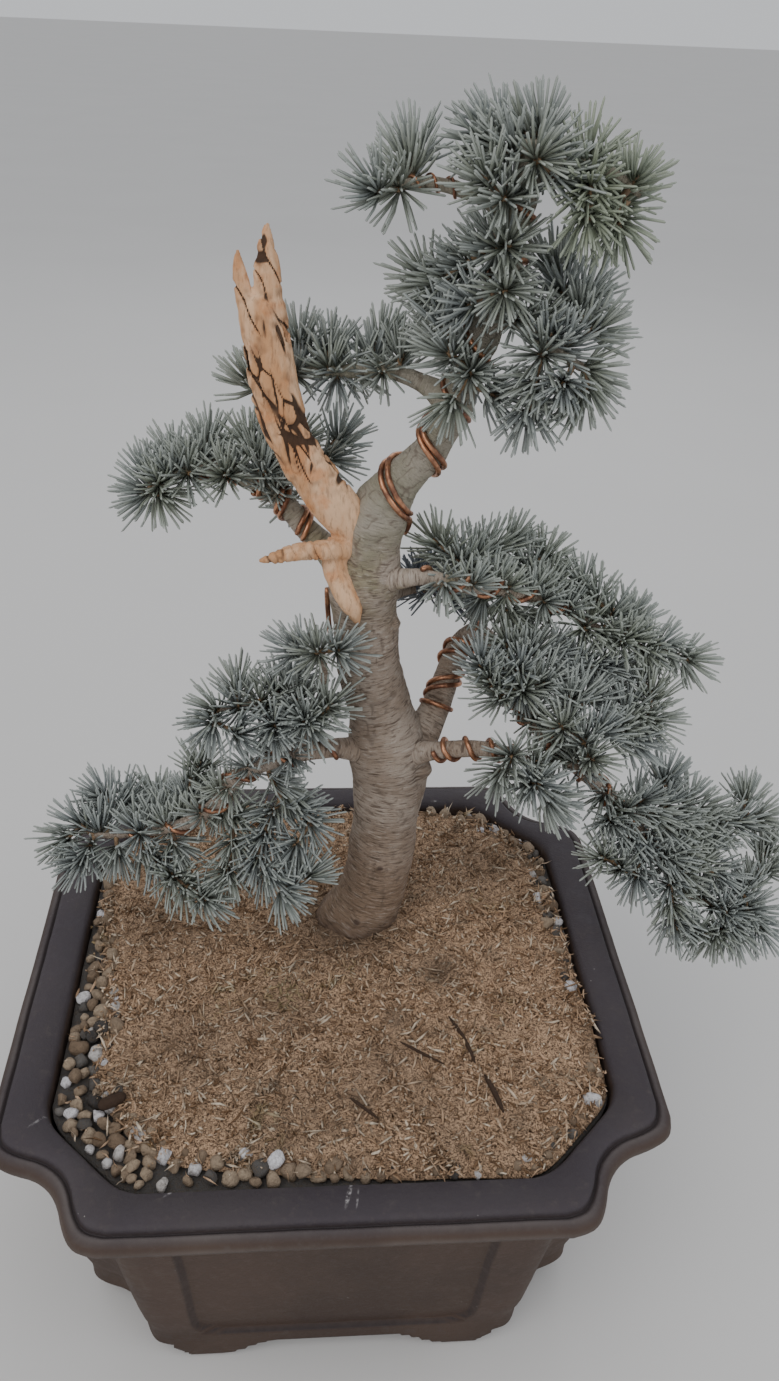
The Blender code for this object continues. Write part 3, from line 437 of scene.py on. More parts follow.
# The room.
FLOOR_HALF = 20.0
FLOOR_Z = -0.0004
FLOOR_COLOUR = (0.640, 0.630, 0.620, 1.0)
FLOOR_PALE = (0.680, 0.670, 0.660, 1.0)
SKY_COLOUR = (0.850, 0.870, 0.900, 1.0)
SKY_POWER = 0.78
LIGHT_AIM = (0.0, 0.0, 0.25)
LIGHTS = (
    ("key_light", (-0.9, -1.1, 1.7), 2.2, 18.0, (1.0, 0.97, 0.94)),
    ("fill_light", (1.5, -0.9, 1.1), 1.4, 6.0, (0.95, 0.97, 1.0)),
    ("back_light", (0.3, 1.6, 1.5), 1.2, 5.0, (0.95, 0.97, 1.0)),
)

TINY = 1e-9
# For the fixed pseudo-random numbers.
HASH_STEPS = (73856093, 19349663, 83492791, 1274126177)
HASH_MASK = 0xFFFF
NOISE_SHIFT = 17.31

WIRE_RADIUS = 0.0012
FINE_WIRE_RADIUS = 0.0006

# The wood and the jin as routes of x, y, z, radius.
TRUNK = (
    (0.0140, 0.0320, -0.0450, 0.0180),
    (0.0130, 0.0310, -0.0180, 0.0220),
    (0.0130, 0.0300, -0.0040, 0.0205),
    (0.0195, 0.0310, 0.0120, 0.0175),
    (0.0245, 0.0315, 0.0330, 0.0168),
    (0.0265, 0.0320, 0.0550, 0.0170),
    (0.0280, 0.0330, 0.0770, 0.0172),
    (0.0285, 0.0340, 0.0980, 0.0182),
    (0.0260, 0.0340, 0.1140, 0.0180),
    (0.0220, 0.0340, 0.1320, 0.0162),
    (0.0160, 0.0330, 0.1570, 0.0150),
    (0.0130, 0.0320, 0.1930, 0.0155),
    (0.0145, 0.0305, 0.2170, 0.0145),
    (0.0185, 0.0290, 0.2330, 0.0125),
    (0.0245, 0.0280, 0.2445, 0.0095),
    (0.0310, 0.0275, 0.2525, 0.0080),
    (0.0385, 0.0270, 0.2615, 0.0076),
    (0.0470, 0.0250, 0.2830, 0.0070),
    (0.0540, 0.0230, 0.3040, 0.0065),
    (0.0575, 0.0220, 0.3190, 0.0060),
    (0.0610, 0.0200, 0.3330, 0.0056),
    (0.0630, 0.0180, 0.3500, 0.0052),
    (0.0650, 0.0160, 0.3640, 0.0047),
    (0.0660, 0.0145, 0.3760, 0.0036),
)

JIN_SHAFT = (
    (0.0120, 0.0260, 0.2220, 0.0090),
    (-0.0010, 0.0240, 0.2380, 0.0098),
    (-0.0085, 0.0240, 0.2490, 0.0096),
    (-0.0155, 0.0240, 0.2590, 0.0093),
    (-0.0234, 0.0250, 0.2790, 0.0098),
    (-0.0273, 0.0260, 0.3020, 0.0094),
    (-0.0290, 0.0270, 0.3160, 0.0090),
    (-0.0290, 0.0273, 0.3200, 0.0060),
)

JIN_PRONGS = (
    (
        (-0.0262, 0.0262, 0.3060, 0.0050),
        (-0.0265, 0.0272, 0.3220, 0.0054),
        (-0.0270, 0.0280, 0.3340, 0.0044),
        (-0.0266, 0.0285, 0.3450, 0.0008),
    ),
    (
        (-0.0330, 0.0262, 0.3040, 0.0032),
        (-0.0356, 0.0272, 0.3200, 0.0034),
        (-0.0370, 0.0278, 0.3290, 0.0026),
        (-0.0375, 0.0280, 0.3360, 0.0007),
    ),
)

JIN_SPUR = (
    (0.0060, 0.0240, 0.2180, 0.0048),
    (-0.0020, 0.0190, 0.2195, 0.0044),
    (-0.0150, 0.0160, 0.2200, 0.0038),
    (-0.0250, 0.0135, 0.2185, 0.0028),
    (-0.0320, 0.0120, 0.2175, 0.0008),
)

JIN_STRIP = (
    (0.0020, 0.0230, 0.2220, 0.0055),
    (-0.0005, 0.0215, 0.2120, 0.0055),
    (0.0030, 0.0180, 0.2020, 0.0052),
    (0.0075, 0.0165, 0.1930, 0.0042),
    (0.0098, 0.0165, 0.1855, 0.0010),
)

BRANCHES = {
    "left_low": (
        (0.0220, 0.0300, 0.1080, 0.0058),
        (0.0100, 0.0260, 0.1125, 0.0050),
        (-0.0040, 0.0220, 0.1155, 0.0045),
        (-0.0230, 0.0180, 0.1140, 0.0043),
        (-0.0440, 0.0160, 0.1050, 0.0041),
        (-0.0570, 0.0130, 0.0880, 0.0037),
        (-0.0750, 0.0140, 0.0760, 0.0030),
        (-0.0980, 0.0180, 0.0690, 0.0022),
        (-0.1150, 0.0200, 0.0660, 0.0014),
    ),
    "left_middle": (
        (-0.0150, 0.0205, 0.1150, 0.0030),
        (-0.0135, 0.0225, 0.1280, 0.0026),
        (-0.0220, 0.0235, 0.1370, 0.0023),
        (-0.0380, 0.0210, 0.1410, 0.0018),
        (-0.0520, 0.0180, 0.1400, 0.0012),
    ),
    "left_twig": (
        (-0.0135, 0.0225, 0.1280, 0.0022),
        (-0.0065, 0.0215, 0.1440, 0.0019),
        (-0.0045, 0.0160, 0.1600, 0.0016),
        (-0.0055, 0.0150, 0.1730, 0.0011),
    ),
    "left_top": (
        (0.0090, 0.0340, 0.2000, 0.0062),
        (-0.0040, 0.0460, 0.2080, 0.0056),
        (-0.0140, 0.0500, 0.2170, 0.0050),
        (-0.0230, 0.0540, 0.2270, 0.0047),
        (-0.0350, 0.0560, 0.2350, 0.0042),
        (-0.0520, 0.0560, 0.2400, 0.0034),
        (-0.0680, 0.0550, 0.2380, 0.0024),
        (-0.0780, 0.0520, 0.2320, 0.0015),
    ),
    "upper_left": (
        (0.0470, 0.0260, 0.2800, 0.0046),
        (0.0330, 0.0350, 0.2860, 0.0036),
        (0.0200, 0.0385, 0.2890, 0.0031),
        (0.0030, 0.0400, 0.2880, 0.0027),
        (-0.0150, 0.0430, 0.2860, 0.0022),
        (-0.0340, 0.0450, 0.2810, 0.0014),
    ),
    "mid_right": (
        (0.0560, 0.0215, 0.3140, 0.0042),
        (0.0640, 0.0160, 0.3165, 0.0033),
        (0.0740, 0.0110, 0.3110, 0.0027),
        (0.0850, 0.0070, 0.3040, 0.0020),
        (0.0920, 0.0060, 0.3010, 0.0013),
    ),
    "apex_left": (
        (0.0620, 0.0180, 0.3530, 0.0034),
        (0.0460, 0.0220, 0.3580, 0.0027),
        (0.0300, 0.0220, 0.3610, 0.0022),
        (0.0160, 0.0180, 0.3590, 0.0014),
    ),
    "apex_right": (
        (0.0640, 0.0160, 0.3620, 0.0032),
        (0.0780, 0.0120, 0.3690, 0.0026),
        (0.0920, 0.0100, 0.3680, 0.0020),
        (0.1040, 0.0080, 0.3610, 0.0013),
    ),
    "right_upper": (
        (0.0160, 0.0300, 0.2020, 0.0052),
        (0.0270, 0.0215, 0.2050, 0.0042),
        (0.0360, 0.0200, 0.2065, 0.0035),
        (0.0470, 0.0210, 0.2040, 0.0033),
        (0.0580, 0.0240, 0.2000, 0.0031),
        (0.0750, 0.0330, 0.1940, 0.0028),
        (0.0980, 0.0400, 0.1840, 0.0024),
        (0.1220, 0.0400, 0.1710, 0.0019),
        (0.1480, 0.0340, 0.1620, 0.0012),
    ),
    "right_arching": (
        (0.0280, 0.0330, 0.1000, 0.0100),
        (0.0390, 0.0355, 0.1095, 0.0082),
        (0.0450, 0.0385, 0.1165, 0.0072),
        (0.0514, 0.0450, 0.1270, 0.0065),
        (0.0586, 0.0570, 0.1419, 0.0060),
        (0.0630, 0.0610, 0.1492, 0.0058),
        (0.0689, 0.0610, 0.1554, 0.0055),
        (0.0745, 0.0550, 0.1549, 0.0052),
        (0.0793, 0.0470, 0.1484, 0.0050),
        (0.0838, 0.0400, 0.1404, 0.0048),
        (0.0898, 0.0330, 0.1318, 0.0046),
        (0.1080, 0.0200, 0.1150, 0.0042),
        (0.1300, 0.0165, 0.0950, 0.0037),
        (0.1520, 0.0120, 0.0710, 0.0032),
        (0.1700, 0.0060, 0.0480, 0.0026),
        (0.1850, 0.0010, 0.0350, 0.0020),
        (0.2020, -0.0010, 0.0290, 0.0013),
    ),
    "right_far": (
        (0.1465, 0.0132, 0.0775, 0.0029),
        (0.1700, 0.0170, 0.0740, 0.0024),
        (0.1900, 0.0190, 0.0730, 0.0019),
        (0.2130, 0.0200, 0.0690, 0.0013),
    ),
    "right_lower": (
        (0.0310, 0.0310, 0.1080, 0.0062),
        (0.0400, 0.0235, 0.1120, 0.0050),
        (0.0470, 0.0175, 0.1170, 0.0042),
        (0.0590, 0.0120, 0.1220, 0.0040),
        (0.0720, 0.0080, 0.1240, 0.0036),
        (0.0840, 0.0030, 0.1240, 0.0026),
        (0.0950, 0.0000, 0.1190, 0.0015),
    ),
    "back": (
        (0.0160, 0.0360, 0.1740, 0.0048),
        (0.0240, 0.0530, 0.1780, 0.0036),
        (0.0360, 0.0650, 0.1780, 0.0030),
        (0.0520, 0.0730, 0.1730, 0.0018),
    ),
}

PADS = {
    "left_low": (
        "left_low",
        ((-0.117, 0.014, 0.064), (-0.123, 0.026, 0.070), (-0.108, 0.031, 0.072), (-0.091, 0.016, 0.060)),
        ((-0.129, 0.020, 0.064), (-0.121, 0.009, 0.060), (-0.114, 0.041, 0.075), (-0.101, 0.037, 0.075)),
        ((-0.095, 0.021, 0.072), (-0.075, 0.023, 0.076), (-0.091, 0.044, 0.072), (-0.069, 0.028, 0.084)),
        ((-0.064, 0.034, 0.098), (-0.076, 0.001, 0.056), (-0.060, -0.011, 0.052), (-0.050, -0.002, 0.060)),
        ((-0.045, 0.015, 0.082), (-0.029, 0.014, 0.084), (-0.023, 0.021, 0.090), (-0.010, 0.010, 0.080)),
        ((-0.012, -0.004, 0.060), (-0.024, -0.012, 0.056), (-0.036, 0.000, 0.068), (-0.018, 0.002, 0.074)),
    ),
    "left_middle": (
        "left_middle",
        ((-0.054, 0.017, 0.140), (-0.044, 0.030, 0.146), (-0.033, 0.020, 0.144), (-0.026, 0.008, 0.138)),
        ((-0.014, 0.010, 0.140), (-0.018, 0.032, 0.148), (-0.055, 0.012, 0.136), (-0.043, 0.008, 0.134)),
        ((-0.002, 0.010, 0.148), (-0.010, 0.010, 0.136), (-0.028, 0.012, 0.134)),
    ),
    "left_twig": ("left_twig", ((-0.018, 0.018, 0.171), (0.002, 0.008, 0.177), (-0.008, 0.010, 0.175))),
    "left_top": (
        "left_top",
        ((-0.075, 0.050, 0.230), (-0.080, 0.059, 0.236), (-0.070, 0.067, 0.242), (-0.055, 0.074, 0.246)),
        ((-0.047, 0.049, 0.240), (-0.062, 0.051, 0.240), (-0.038, 0.070, 0.248), (-0.030, 0.052, 0.240)),
        ((-0.015, 0.068, 0.248), (-0.002, 0.064, 0.242), (0.003, 0.070, 0.250), (-0.083, 0.055, 0.229)),
    ),
    "upper_left": (
        "upper_left",
        ((0.000, 0.039, 0.286), (-0.014, 0.048, 0.286), (-0.015, 0.053, 0.296), (0.009, 0.041, 0.288)),
        ((0.026, 0.044, 0.294), (0.020, 0.057, 0.296), (-0.003, 0.049, 0.294), (-0.036, 0.046, 0.282)),
    ),
    "mid_right": (
        "mid_right",
        ((0.074, 0.014, 0.316), (0.096, 0.012, 0.314), (0.083, 0.024, 0.326), (0.095, 0.028, 0.322)),
        ((0.074, 0.004, 0.306), (0.083, 0.000, 0.296), (0.093, 0.006, 0.300), (0.081, 0.028, 0.332)),
        ((0.072, 0.006, 0.284), (0.088, 0.004, 0.289), (0.095, 0.008, 0.292)),
    ),
    "leader_front": (
        "trunk",
        ((0.047, 0.012, 0.322), (0.037, 0.022, 0.326), (0.059, 0.006, 0.328), (0.059, 0.006, 0.344)),
        ((0.053, 0.024, 0.338), (0.031, 0.032, 0.328), (0.043, 0.010, 0.286), (0.041, 0.014, 0.304)),
        ((0.040, 0.040, 0.306), (0.060, 0.012, 0.288)),
    ),
    "apex_left": (
        "apex_left",
        ((0.020, 0.018, 0.359), (0.012, 0.016, 0.359), (0.026, 0.034, 0.370), (0.024, 0.026, 0.366)),
    ),
    "apex_right": (
        "apex_right",
        ((0.086, 0.018, 0.371), (0.092, 0.014, 0.366), (0.096, 0.010, 0.358), (0.097, 0.005, 0.351)),
        ((0.085, 0.002, 0.354), (0.085, 0.005, 0.363), (0.102, 0.018, 0.358)),
    ),
    "apex": (
        "trunk",
        ((0.049, 0.008, 0.365), (0.049, 0.022, 0.374), (0.053, 0.026, 0.378), (0.055, 0.004, 0.359)),
        ((0.066, 0.005, 0.371), (0.062, 0.028, 0.377), (0.070, 0.026, 0.378), (0.075, 0.008, 0.366)),
    ),
    "right_upper": (
        "right_upper",
        ((0.054, 0.042, 0.205), (0.065, 0.050, 0.204), (0.067, 0.040, 0.197), (0.083, 0.060, 0.204)),
        ((0.098, 0.058, 0.198), (0.114, 0.052, 0.189), (0.095, 0.044, 0.188), (0.130, 0.044, 0.177)),
        ((0.154, 0.036, 0.163), (0.141, 0.048, 0.170), (0.166, 0.030, 0.159), (0.116, 0.036, 0.172)),
        ((0.133, 0.032, 0.168), (0.077, 0.038, 0.188), (0.045, 0.044, 0.212), (0.067, 0.040, 0.186)),
        ((0.081, 0.040, 0.178), (0.098, 0.044, 0.177), (0.106, 0.046, 0.180), (0.152, 0.034, 0.164)),
    ),
    "right_lower": (
        "right_lower",
        ((0.080, -0.002, 0.127), (0.074, -0.006, 0.120), (0.092, -0.010, 0.118), (0.098, -0.010, 0.108)),
        ((0.088, -0.006, 0.115), (0.101, -0.006, 0.104)),
    ),
    "right_far": (
        "right_arching",
        ((0.134, 0.006, 0.082), (0.129, -0.006, 0.070), (0.151, 0.016, 0.087), (0.165, 0.026, 0.092)),
        ((0.179, 0.024, 0.081), (0.166, 0.010, 0.074), (0.165, -0.006, 0.052), (0.182, 0.004, 0.058)),
        ((0.195, 0.016, 0.071), (0.209, 0.026, 0.079), (0.205, -0.002, 0.044), (0.189, -0.016, 0.027)),
        ((0.168, -0.018, 0.035), (0.216, -0.010, 0.024), (0.219, 0.012, 0.059), (0.148, -0.005, 0.057)),
        ((0.215, 0.018, 0.073), (0.218, 0.004, 0.051), (0.153, 0.002, 0.064)),
    ),
    "right_middle": (
        "right_arching",
        ((0.065, 0.016, 0.166), (0.083, 0.020, 0.160), (0.097, 0.018, 0.154), (0.119, 0.018, 0.145)),
        ((0.136, 0.018, 0.141), (0.102, 0.004, 0.140), (0.122, 0.006, 0.136), (0.118, 0.000, 0.124)),
        ((0.141, 0.008, 0.128), (0.107, 0.012, 0.150), (0.091, 0.032, 0.164), (0.112, 0.032, 0.158)),
        ((0.129, 0.029, 0.154), (0.144, 0.028, 0.151), (0.147, 0.019, 0.147), (0.148, 0.014, 0.136)),
        ((0.078, 0.028, 0.168), (0.075, 0.017, 0.148), (0.111, 0.016, 0.146), (0.130, 0.008, 0.132)),
        ((0.114, 0.004, 0.132),),
    ),
    "back": (
        "back",
        ((0.040, 0.064, 0.182), (0.050, 0.076, 0.182), (0.060, 0.074, 0.170), (0.044, 0.080, 0.172)),
    ),
}

# The wires: the wood, the radius, and stops of share of the wood's length and number of turns.
COILS = {
    "wire_leader_a": (
        "trunk",
        WIRE_RADIUS,
        ((0.625, 0.53), (0.655, 0.45), (0.673, 0.19), (0.727, -0.80), (0.831, -2.79)),
        ((0.880, -3.61), (0.925, -5.05), (0.972, -6.30)),
    ),
    "wire_leader_b": ("trunk", WIRE_RADIUS, ((0.661, 0.46), (0.680, 0.19), (0.734, -0.80), (0.760, -1.30))),
    "wire_trunk": ("trunk", WIRE_RADIUS, ((0.430, 0.74), (0.500, 0.985), (0.556, 0.975))),
    "wire_left_top_a": ("left_top", WIRE_RADIUS, ((0.270, 0.17), (0.800, 4.17))),
    "wire_left_top_b": ("left_top", WIRE_RADIUS, ((0.300, 0.17), (0.560, 2.13))),
    "wire_left_low": ("left_low", WIRE_RADIUS, ((0.150, 0.19), (0.880, 5.40))),
    "wire_right_upper": ("right_upper", WIRE_RADIUS, ((0.160, 0.05), (0.270, -0.75), (0.700, -4.00))),
    "wire_right_arching_a": (
        "right_arching",
        WIRE_RADIUS,
        ((0.125, -0.20), (0.136, 0.80), (0.205, 1.80), (0.350, 3.90), (0.725, 9.05), (0.900, 11.4)),
    ),
    "wire_right_arching_b": (
        "right_arching",
        WIRE_RADIUS,
        ((0.150, 0.80), (0.223, 1.80), (0.298, 2.60), (0.370, 3.60), (0.440, 4.60)),
    ),
    "wire_right_lower": (
        "right_lower",
        WIRE_RADIUS,
        ((0.330, 0.15), (0.400, 1.15), (0.550, 2.15), (0.800, 3.90)),
    ),
    "wire_apex_left": ("apex_left", FINE_WIRE_RADIUS, ((0.450, 0.00), (0.820, 2.60))),
}

# The pot's outside from the table up and over the ledge: half width, height, where the panel's edge is.
OUTSIDE = (
    (0.1010, 0.0000, 0.060),
    (0.1195, 0.0000, 0.066),
    (0.1212, 0.0030, 0.066),
    (0.1214, 0.0085, 0.066),
    (0.1212, 0.0150, 0.066),
    (0.1214, 0.0215, 0.066),
    (0.1222, 0.0260, 0.066),
    (0.1240, 0.0330, 0.067),
    (0.1275, 0.0560, 0.068),
    (0.1315, 0.0860, 0.069),
    (0.1355, 0.1160, 0.071),
    (0.1368, 0.1215, 0.070),
    (0.1400, 0.1265, 0.072),
    (0.1455, 0.1300, 0.073),
    (0.1495, 0.1335, 0.074),
    (0.1512, 0.1375, 0.074),
    (0.1500, 0.1410, 0.074),
    (0.1468, 0.1427, 0.072),
    (0.1450, 0.1408, 0.071),
    (0.1442, 0.1440, 0.070),
    (0.1422, 0.1450, 0.070),
)

# The pot's inside from the rim down: half width, height.
INSIDE = (
    (0.1290, 0.1450),
    (0.1270, 0.1430),
    (0.1262, 0.1300),
    (0.1215, 0.0850),
    (0.1120, 0.0450),
    (0.1000, 0.0280),
    (0.0880, FLOOR_TOP),
)


def smooth_route(route, steps):
    """A Catmull-Rom curve through the route's points, as an array of x, y, z, radius."""
    points = np.array(route, float)
    before = np.vstack([2 * points[0] - points[1], points[:-1]])
    after = np.vstack([points[2:], 2 * points[-1] - points[-2]])
    shares = (np.arange(steps) / steps)[:, None]
    found = []
    for i in range(len(points) - 1):
        p0, p1, p2, p3 = before[i], points[i], points[i + 1], after[i]
        a = 2 * p1 + (p2 - p0) * shares
        b = (2 * p0 - 5 * p1 + 4 * p2 - p3) * shares**2
        c = (3 * p1 - p0 - 3 * p2 + p3) * shares**3
        found.append(0.5 * (a + b + c))
    found.append(points[-1:])
    return np.concatenate(found)


def frames_along(points):
    """At each point of a route, two directions across it that turn as little as possible on the way."""
    ahead = np.gradient(points, axis=0)
    ahead /= np.linalg.norm(ahead, axis=1)[:, None]
    side = np.cross(ahead[0], (0.0, 1.0, 0.0))
    sides = []
    for direction in ahead:
        side = side - direction * (side @ direction)
        side = side / np.linalg.norm(side)
        sides.append(side)
    sides = np.array(sides)
    return sides, np.cross(ahead, sides)


def ring_round(across, out, sides, flatten=1.0):
    """Directions all the way round each point of a route, shorter along out where flatten is under 1."""
    turn = 2 * math.pi * np.arange(sides) / sides
    wide = across[:, None] * np.cos(turn)[None, :, None]
    return wide + out[:, None] * np.sin(turn)[None, :, None] * flatten


def lengths_along(points):
    return np.concatenate([[0.0], np.cumsum(np.linalg.norm(np.diff(points, axis=0), axis=1))])


def unit(vectors):
    return vectors / np.maximum(np.linalg.norm(vectors, axis=-1, keepdims=True), TINY)


def smooth_step(low, high, values):
    share = np.clip((values - low) / (high - low), 0.0, 1.0)
    return share * share * (3 - 2 * share)


def lattice(spots, seed):
    """A fixed pseudo-random number from -1 to 1 for each whole-number spot."""
    mixed = np.full(spots.shape[:-1], seed * HASH_STEPS[3], np.int64)
    for axis in range(3):
        mixed ^= spots[..., axis] * HASH_STEPS[axis]
    mixed = (mixed ^ (mixed >> 13)) * HASH_STEPS[3]
    mixed ^= mixed >> 16
    return (mixed & HASH_MASK) / (HASH_MASK / 2) - 1.0


def noise(points, size, seed=0):
    """A smooth random field from -1 to 1 whose lumps are about this large, along each axis or in all."""
    cells = points / size + seed * NOISE_SHIFT
    low = np.floor(cells).astype(np.int64)
    part = cells - low
    part = part * part * (3 - 2 * part)
    total = np.zeros(len(points))
    for corner in np.ndindex(2, 2, 2):
        weight = np.prod(np.where(np.array(corner, bool), part, 1 - part), axis=-1)
        total += weight * lattice(low + np.array(corner), seed)
    return total


def lumpy(points, layers):
    """Lumps of several sizes on top of one another. Each layer is size, seed, height."""
    return sum(height * noise(points, size, seed) for size, seed, height in layers)


def on_level(plan):
    return np.column_stack([plan, plan[:, 0] * 0])


def veins(points, size, seed=0):
    """1 along thin winding lines about this far apart, and less away from them."""
    return 1 - np.abs(noise(points, size, seed))


def web(points, size, seed):
    """0 on the walls of a random honeycomb with cells about this large, and more inside a cell."""
    spots = points / size
    low = np.floor(spots).astype(np.int64)
    nearest = np.full(len(points), np.inf)
    second = nearest.copy()
    for step in np.ndindex(3, 3, 3):
        cell = low + np.array(step) - 1
        centre = cell + 0.5 + 0.42 * np.stack([lattice(cell, seed + axis) for axis in range(3)], -1)
        reach = np.linalg.norm(spots - centre, axis=1)
        second = np.minimum(second, np.maximum(nearest, reach))
        nearest = np.minimum(nearest, reach)
    return second - nearest


def band_faces(rows, columns):
    """Triangles between each ring of points and the next. A ring's last point joins its first."""
    low = np.arange((rows - 1) * columns).reshape(rows - 1, columns)
    side = np.roll(low, -1, axis=1)
    first = np.stack([low, side, side + columns], -1).reshape(-1, 3)
    second = np.stack([low, side + columns, low + columns], -1).reshape(-1, 3)
    return np.concatenate([first, second])


def closed_tube(grid):
    """Points and triangles of a tube given as rings of points, with a fan over each end."""
    rows, columns = grid.shape[:2]
    count = rows * columns
    points = np.vstack([grid.reshape(-1, 3), grid[0].mean(0), grid[-1].mean(0)])
    ring = np.arange(columns)
    ahead = np.roll(ring, -1)
    start = np.stack([ahead, ring, np.full(columns, count)], -1)
    end = np.stack([ring + count - columns, ahead + count - columns, np.full(columns, count + 1)], -1)
    return points, np.concatenate([band_faces(rows, columns), start, end])


def joined(parts):
    """One set of points and triangles from several."""
    shift = 0
    points, faces = [], []
    for some, corners in parts:
        points.append(some)
        faces.append(corners + shift)
        shift += len(some)
    return np.concatenate(points), np.concatenate(faces)


def make_mesh(name, points, faces, values):
    mesh = bpy.data.meshes.new(name)
    mesh.vertices.add(len(points))
    mesh.vertices.foreach_set("co", points.astype(np.float32).ravel())
    mesh.loops.add(faces.size)
    mesh.loops.foreach_set("vertex_index", faces.astype(np.int32).ravel())
    mesh.polygons.add(len(faces))
    mesh.polygons.foreach_set("loop_start", np.arange(0, faces.size, 3, dtype=np.int32))
    mesh.update(calc_edges=True)
    mesh.shade_smooth()
    for key, numbers in values.items():
        attribute = mesh.attributes.new(key, "FLOAT", "POINT")
        attribute.data.foreach_set("value", np.asarray(numbers, np.float32))
    piece = bpy.data.objects.new(name, mesh)
    bpy.context.collection.objects.link(piece)
    return piece


def add_piece(name, points, faces, material, node, values=None):
    """A visible piece that stands for one node. Points are measured from the rim's middle."""
    piece = make_mesh(name, points + RIM, faces, values or {})
    piece.data.materials.append(material)
    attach(piece, BODY)
    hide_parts(node)
    return piece


def new_material(name):
    material = bpy.data.materials.new(name)
    material.use_nodes = True
    return material, material.node_tree


def put(tree, kind, **inputs):
    """Adds a node, with its inputs set by name to a number, a colour or another node's output."""
    node = tree.nodes.new(kind)
    for key, value in inputs.items():
        connect(tree, node.inputs[key.replace("_", " ")], value)
    return node


def connect(tree, socket, value):
    if isinstance(value, bpy.types.NodeSocket):
        tree.links.new(value, socket)
    else:
        socket.default_value = value


def finish_material(tree, colour, roughness, normal, **fixed):
    """Feeds the shader of a material. fixed sets its other sockets to plain numbers."""
    shader = tree.nodes["Principled BSDF"]
    connect(tree, shader.inputs["Base Color"], colour)
    connect(tree, shader.inputs["Roughness"], roughness)
    connect(tree, shader.inputs["Normal"], normal)
    for key, value in fixed.items():
        shader.inputs[key.replace("_", " ")].default_value = value


def place(tree, stretch=(1.0, 1.0, 1.0), turn=(0.0, 0.0, 0.0)):
    """The object's own coordinates, stretched and turned."""
    where = put(tree, "ShaderNodeTexCoord").outputs["Object"]
    return put(tree, "ShaderNodeMapping", Vector=where, Scale=stretch, Rotation=turn).outputs["Vector"]


def grain(tree, where, scale, detail=4.0, roughness=0.6, distortion=0.0):
    return put(
        tree,
        "ShaderNodeTexNoise",
        Vector=where,
        Scale=scale,
        Detail=detail,
        Roughness=roughness,
        Distortion=distortion,
    ).outputs["Fac"]


def cells(tree, where, scale, feature="F1"):
    node = put(tree, "ShaderNodeTexVoronoi", Vector=where, Scale=scale)
    node.feature = feature
    return node.outputs["Distance"]


def mixed(tree, share, first, second):
    """One colour where share is 0, and the other where it is 1."""
    node = tree.nodes.new("ShaderNodeMix")
    node.data_type = "RGBA"
    connect(tree, node.inputs[0], share)
    connect(tree, node.inputs[6], first)
    connect(tree, node.inputs[7], second)
    return node.outputs[2]


def stepped(tree, value, low, high, start=0.0, end=1.0):
    """start below low, end above high, and a smooth change between them."""
    node = tree.nodes.new("ShaderNodeMapRange")
    node.interpolation_type = "SMOOTHSTEP"
    connect(tree, node.inputs["Value"], value)
    node.inputs["From Min"].default_value = low
    node.inputs["From Max"].default_value = high
    node.inputs["To Min"].default_value = start
    node.inputs["To Max"].default_value = end
    return node.outputs["Result"]


def times(tree, first, second):
    """The product of two values."""
    node = tree.nodes.new("ShaderNodeMath")
    node.operation = "MULTIPLY"
    connect(tree, node.inputs[0], first)
    connect(tree, node.inputs[1], second)
    return node.outputs["Value"]


def stored(tree, name):
    """A number that the mesh holds for each point."""
    node = tree.nodes.new("ShaderNodeAttribute")
    node.attribute_name = name
    return node.outputs["Fac"]


def bumped(tree, *layers):
    """A surface normal from layers of height and distance, one on top of another."""
    normal = None
    for height, distance in layers:
        node = put(tree, "ShaderNodeBump", Height=height, Distance=distance)
        if normal:
            tree.links.new(normal, node.inputs["Normal"])
        normal = node.outputs["Normal"]
    return normal


def corner_control(half, dip, cut):
    """The corner of the pot's plan at one height, before it is rounded, with its notch."""
    notch = half * cut
    rounding = half * EDGE_ROUNDING
    middle = half - notch / 2 - half * dip
    eased = half - rounding / 3
    return [
        (half - notch - rounding, -half),
        (half - notch + rounding / 3, -eased),
        (middle, -middle),
        (eased, notch - half - rounding / 3),
        (half, notch - half + rounding),
    ]


def cut_corners(points, times):
    """Rounds a row of points by cutting its corners again and again. The two ends stay."""
    points = np.array(points, float)
    for _ in range(times):
        near = points[:-1] * 0.75 + points[1:] * 0.25
        far = points[:-1] * 0.25 + points[1:] * 0.75
        inner = np.stack([near, far], 1).reshape(-1, 2)[1:-1]
        points = np.vstack([points[:1], inner, points[-1:]])
    return points


def side_stations(end, panel):
    """Distances along a side, close together over the panel's edges."""
    near = panel + PANEL_EDGE * np.array(PANEL_STATIONS)
    outer = np.linspace(end, near[0] + PANEL_EDGE, CORNER_STEPS + 1)[1:]
    half = np.concatenate([outer, near])
    middle = np.linspace(near[-1], -near[-1], SIDE_STEPS)[1:-1]
    return np.concatenate([-half, -middle, half[::-1]])


def pot_plan(half, panel, dip=CORNER_DIP, cut=CORNER_CUT):
    """The pot's plan at one height, and how far along its own side each point is."""
    corner = cut_corners(corner_control(half, dip, cut), CORNER_ROUNDS)
    along = side_stations(corner[0, 0], panel)
    side = np.column_stack([along, np.full(len(along), -half)])
    quarter = np.vstack([side, corner])
    tangent = np.concatenate([along, np.full(len(corner), half)])
    plan = []
    for number in range(4):
        c, s = round(math.cos(number * math.pi / 2)), round(math.sin(number * math.pi / 2))
        plan.append(quarter @ np.array(((c, s), (-s, c))))
    return np.concatenate(plan), np.tile(tangent, 4)


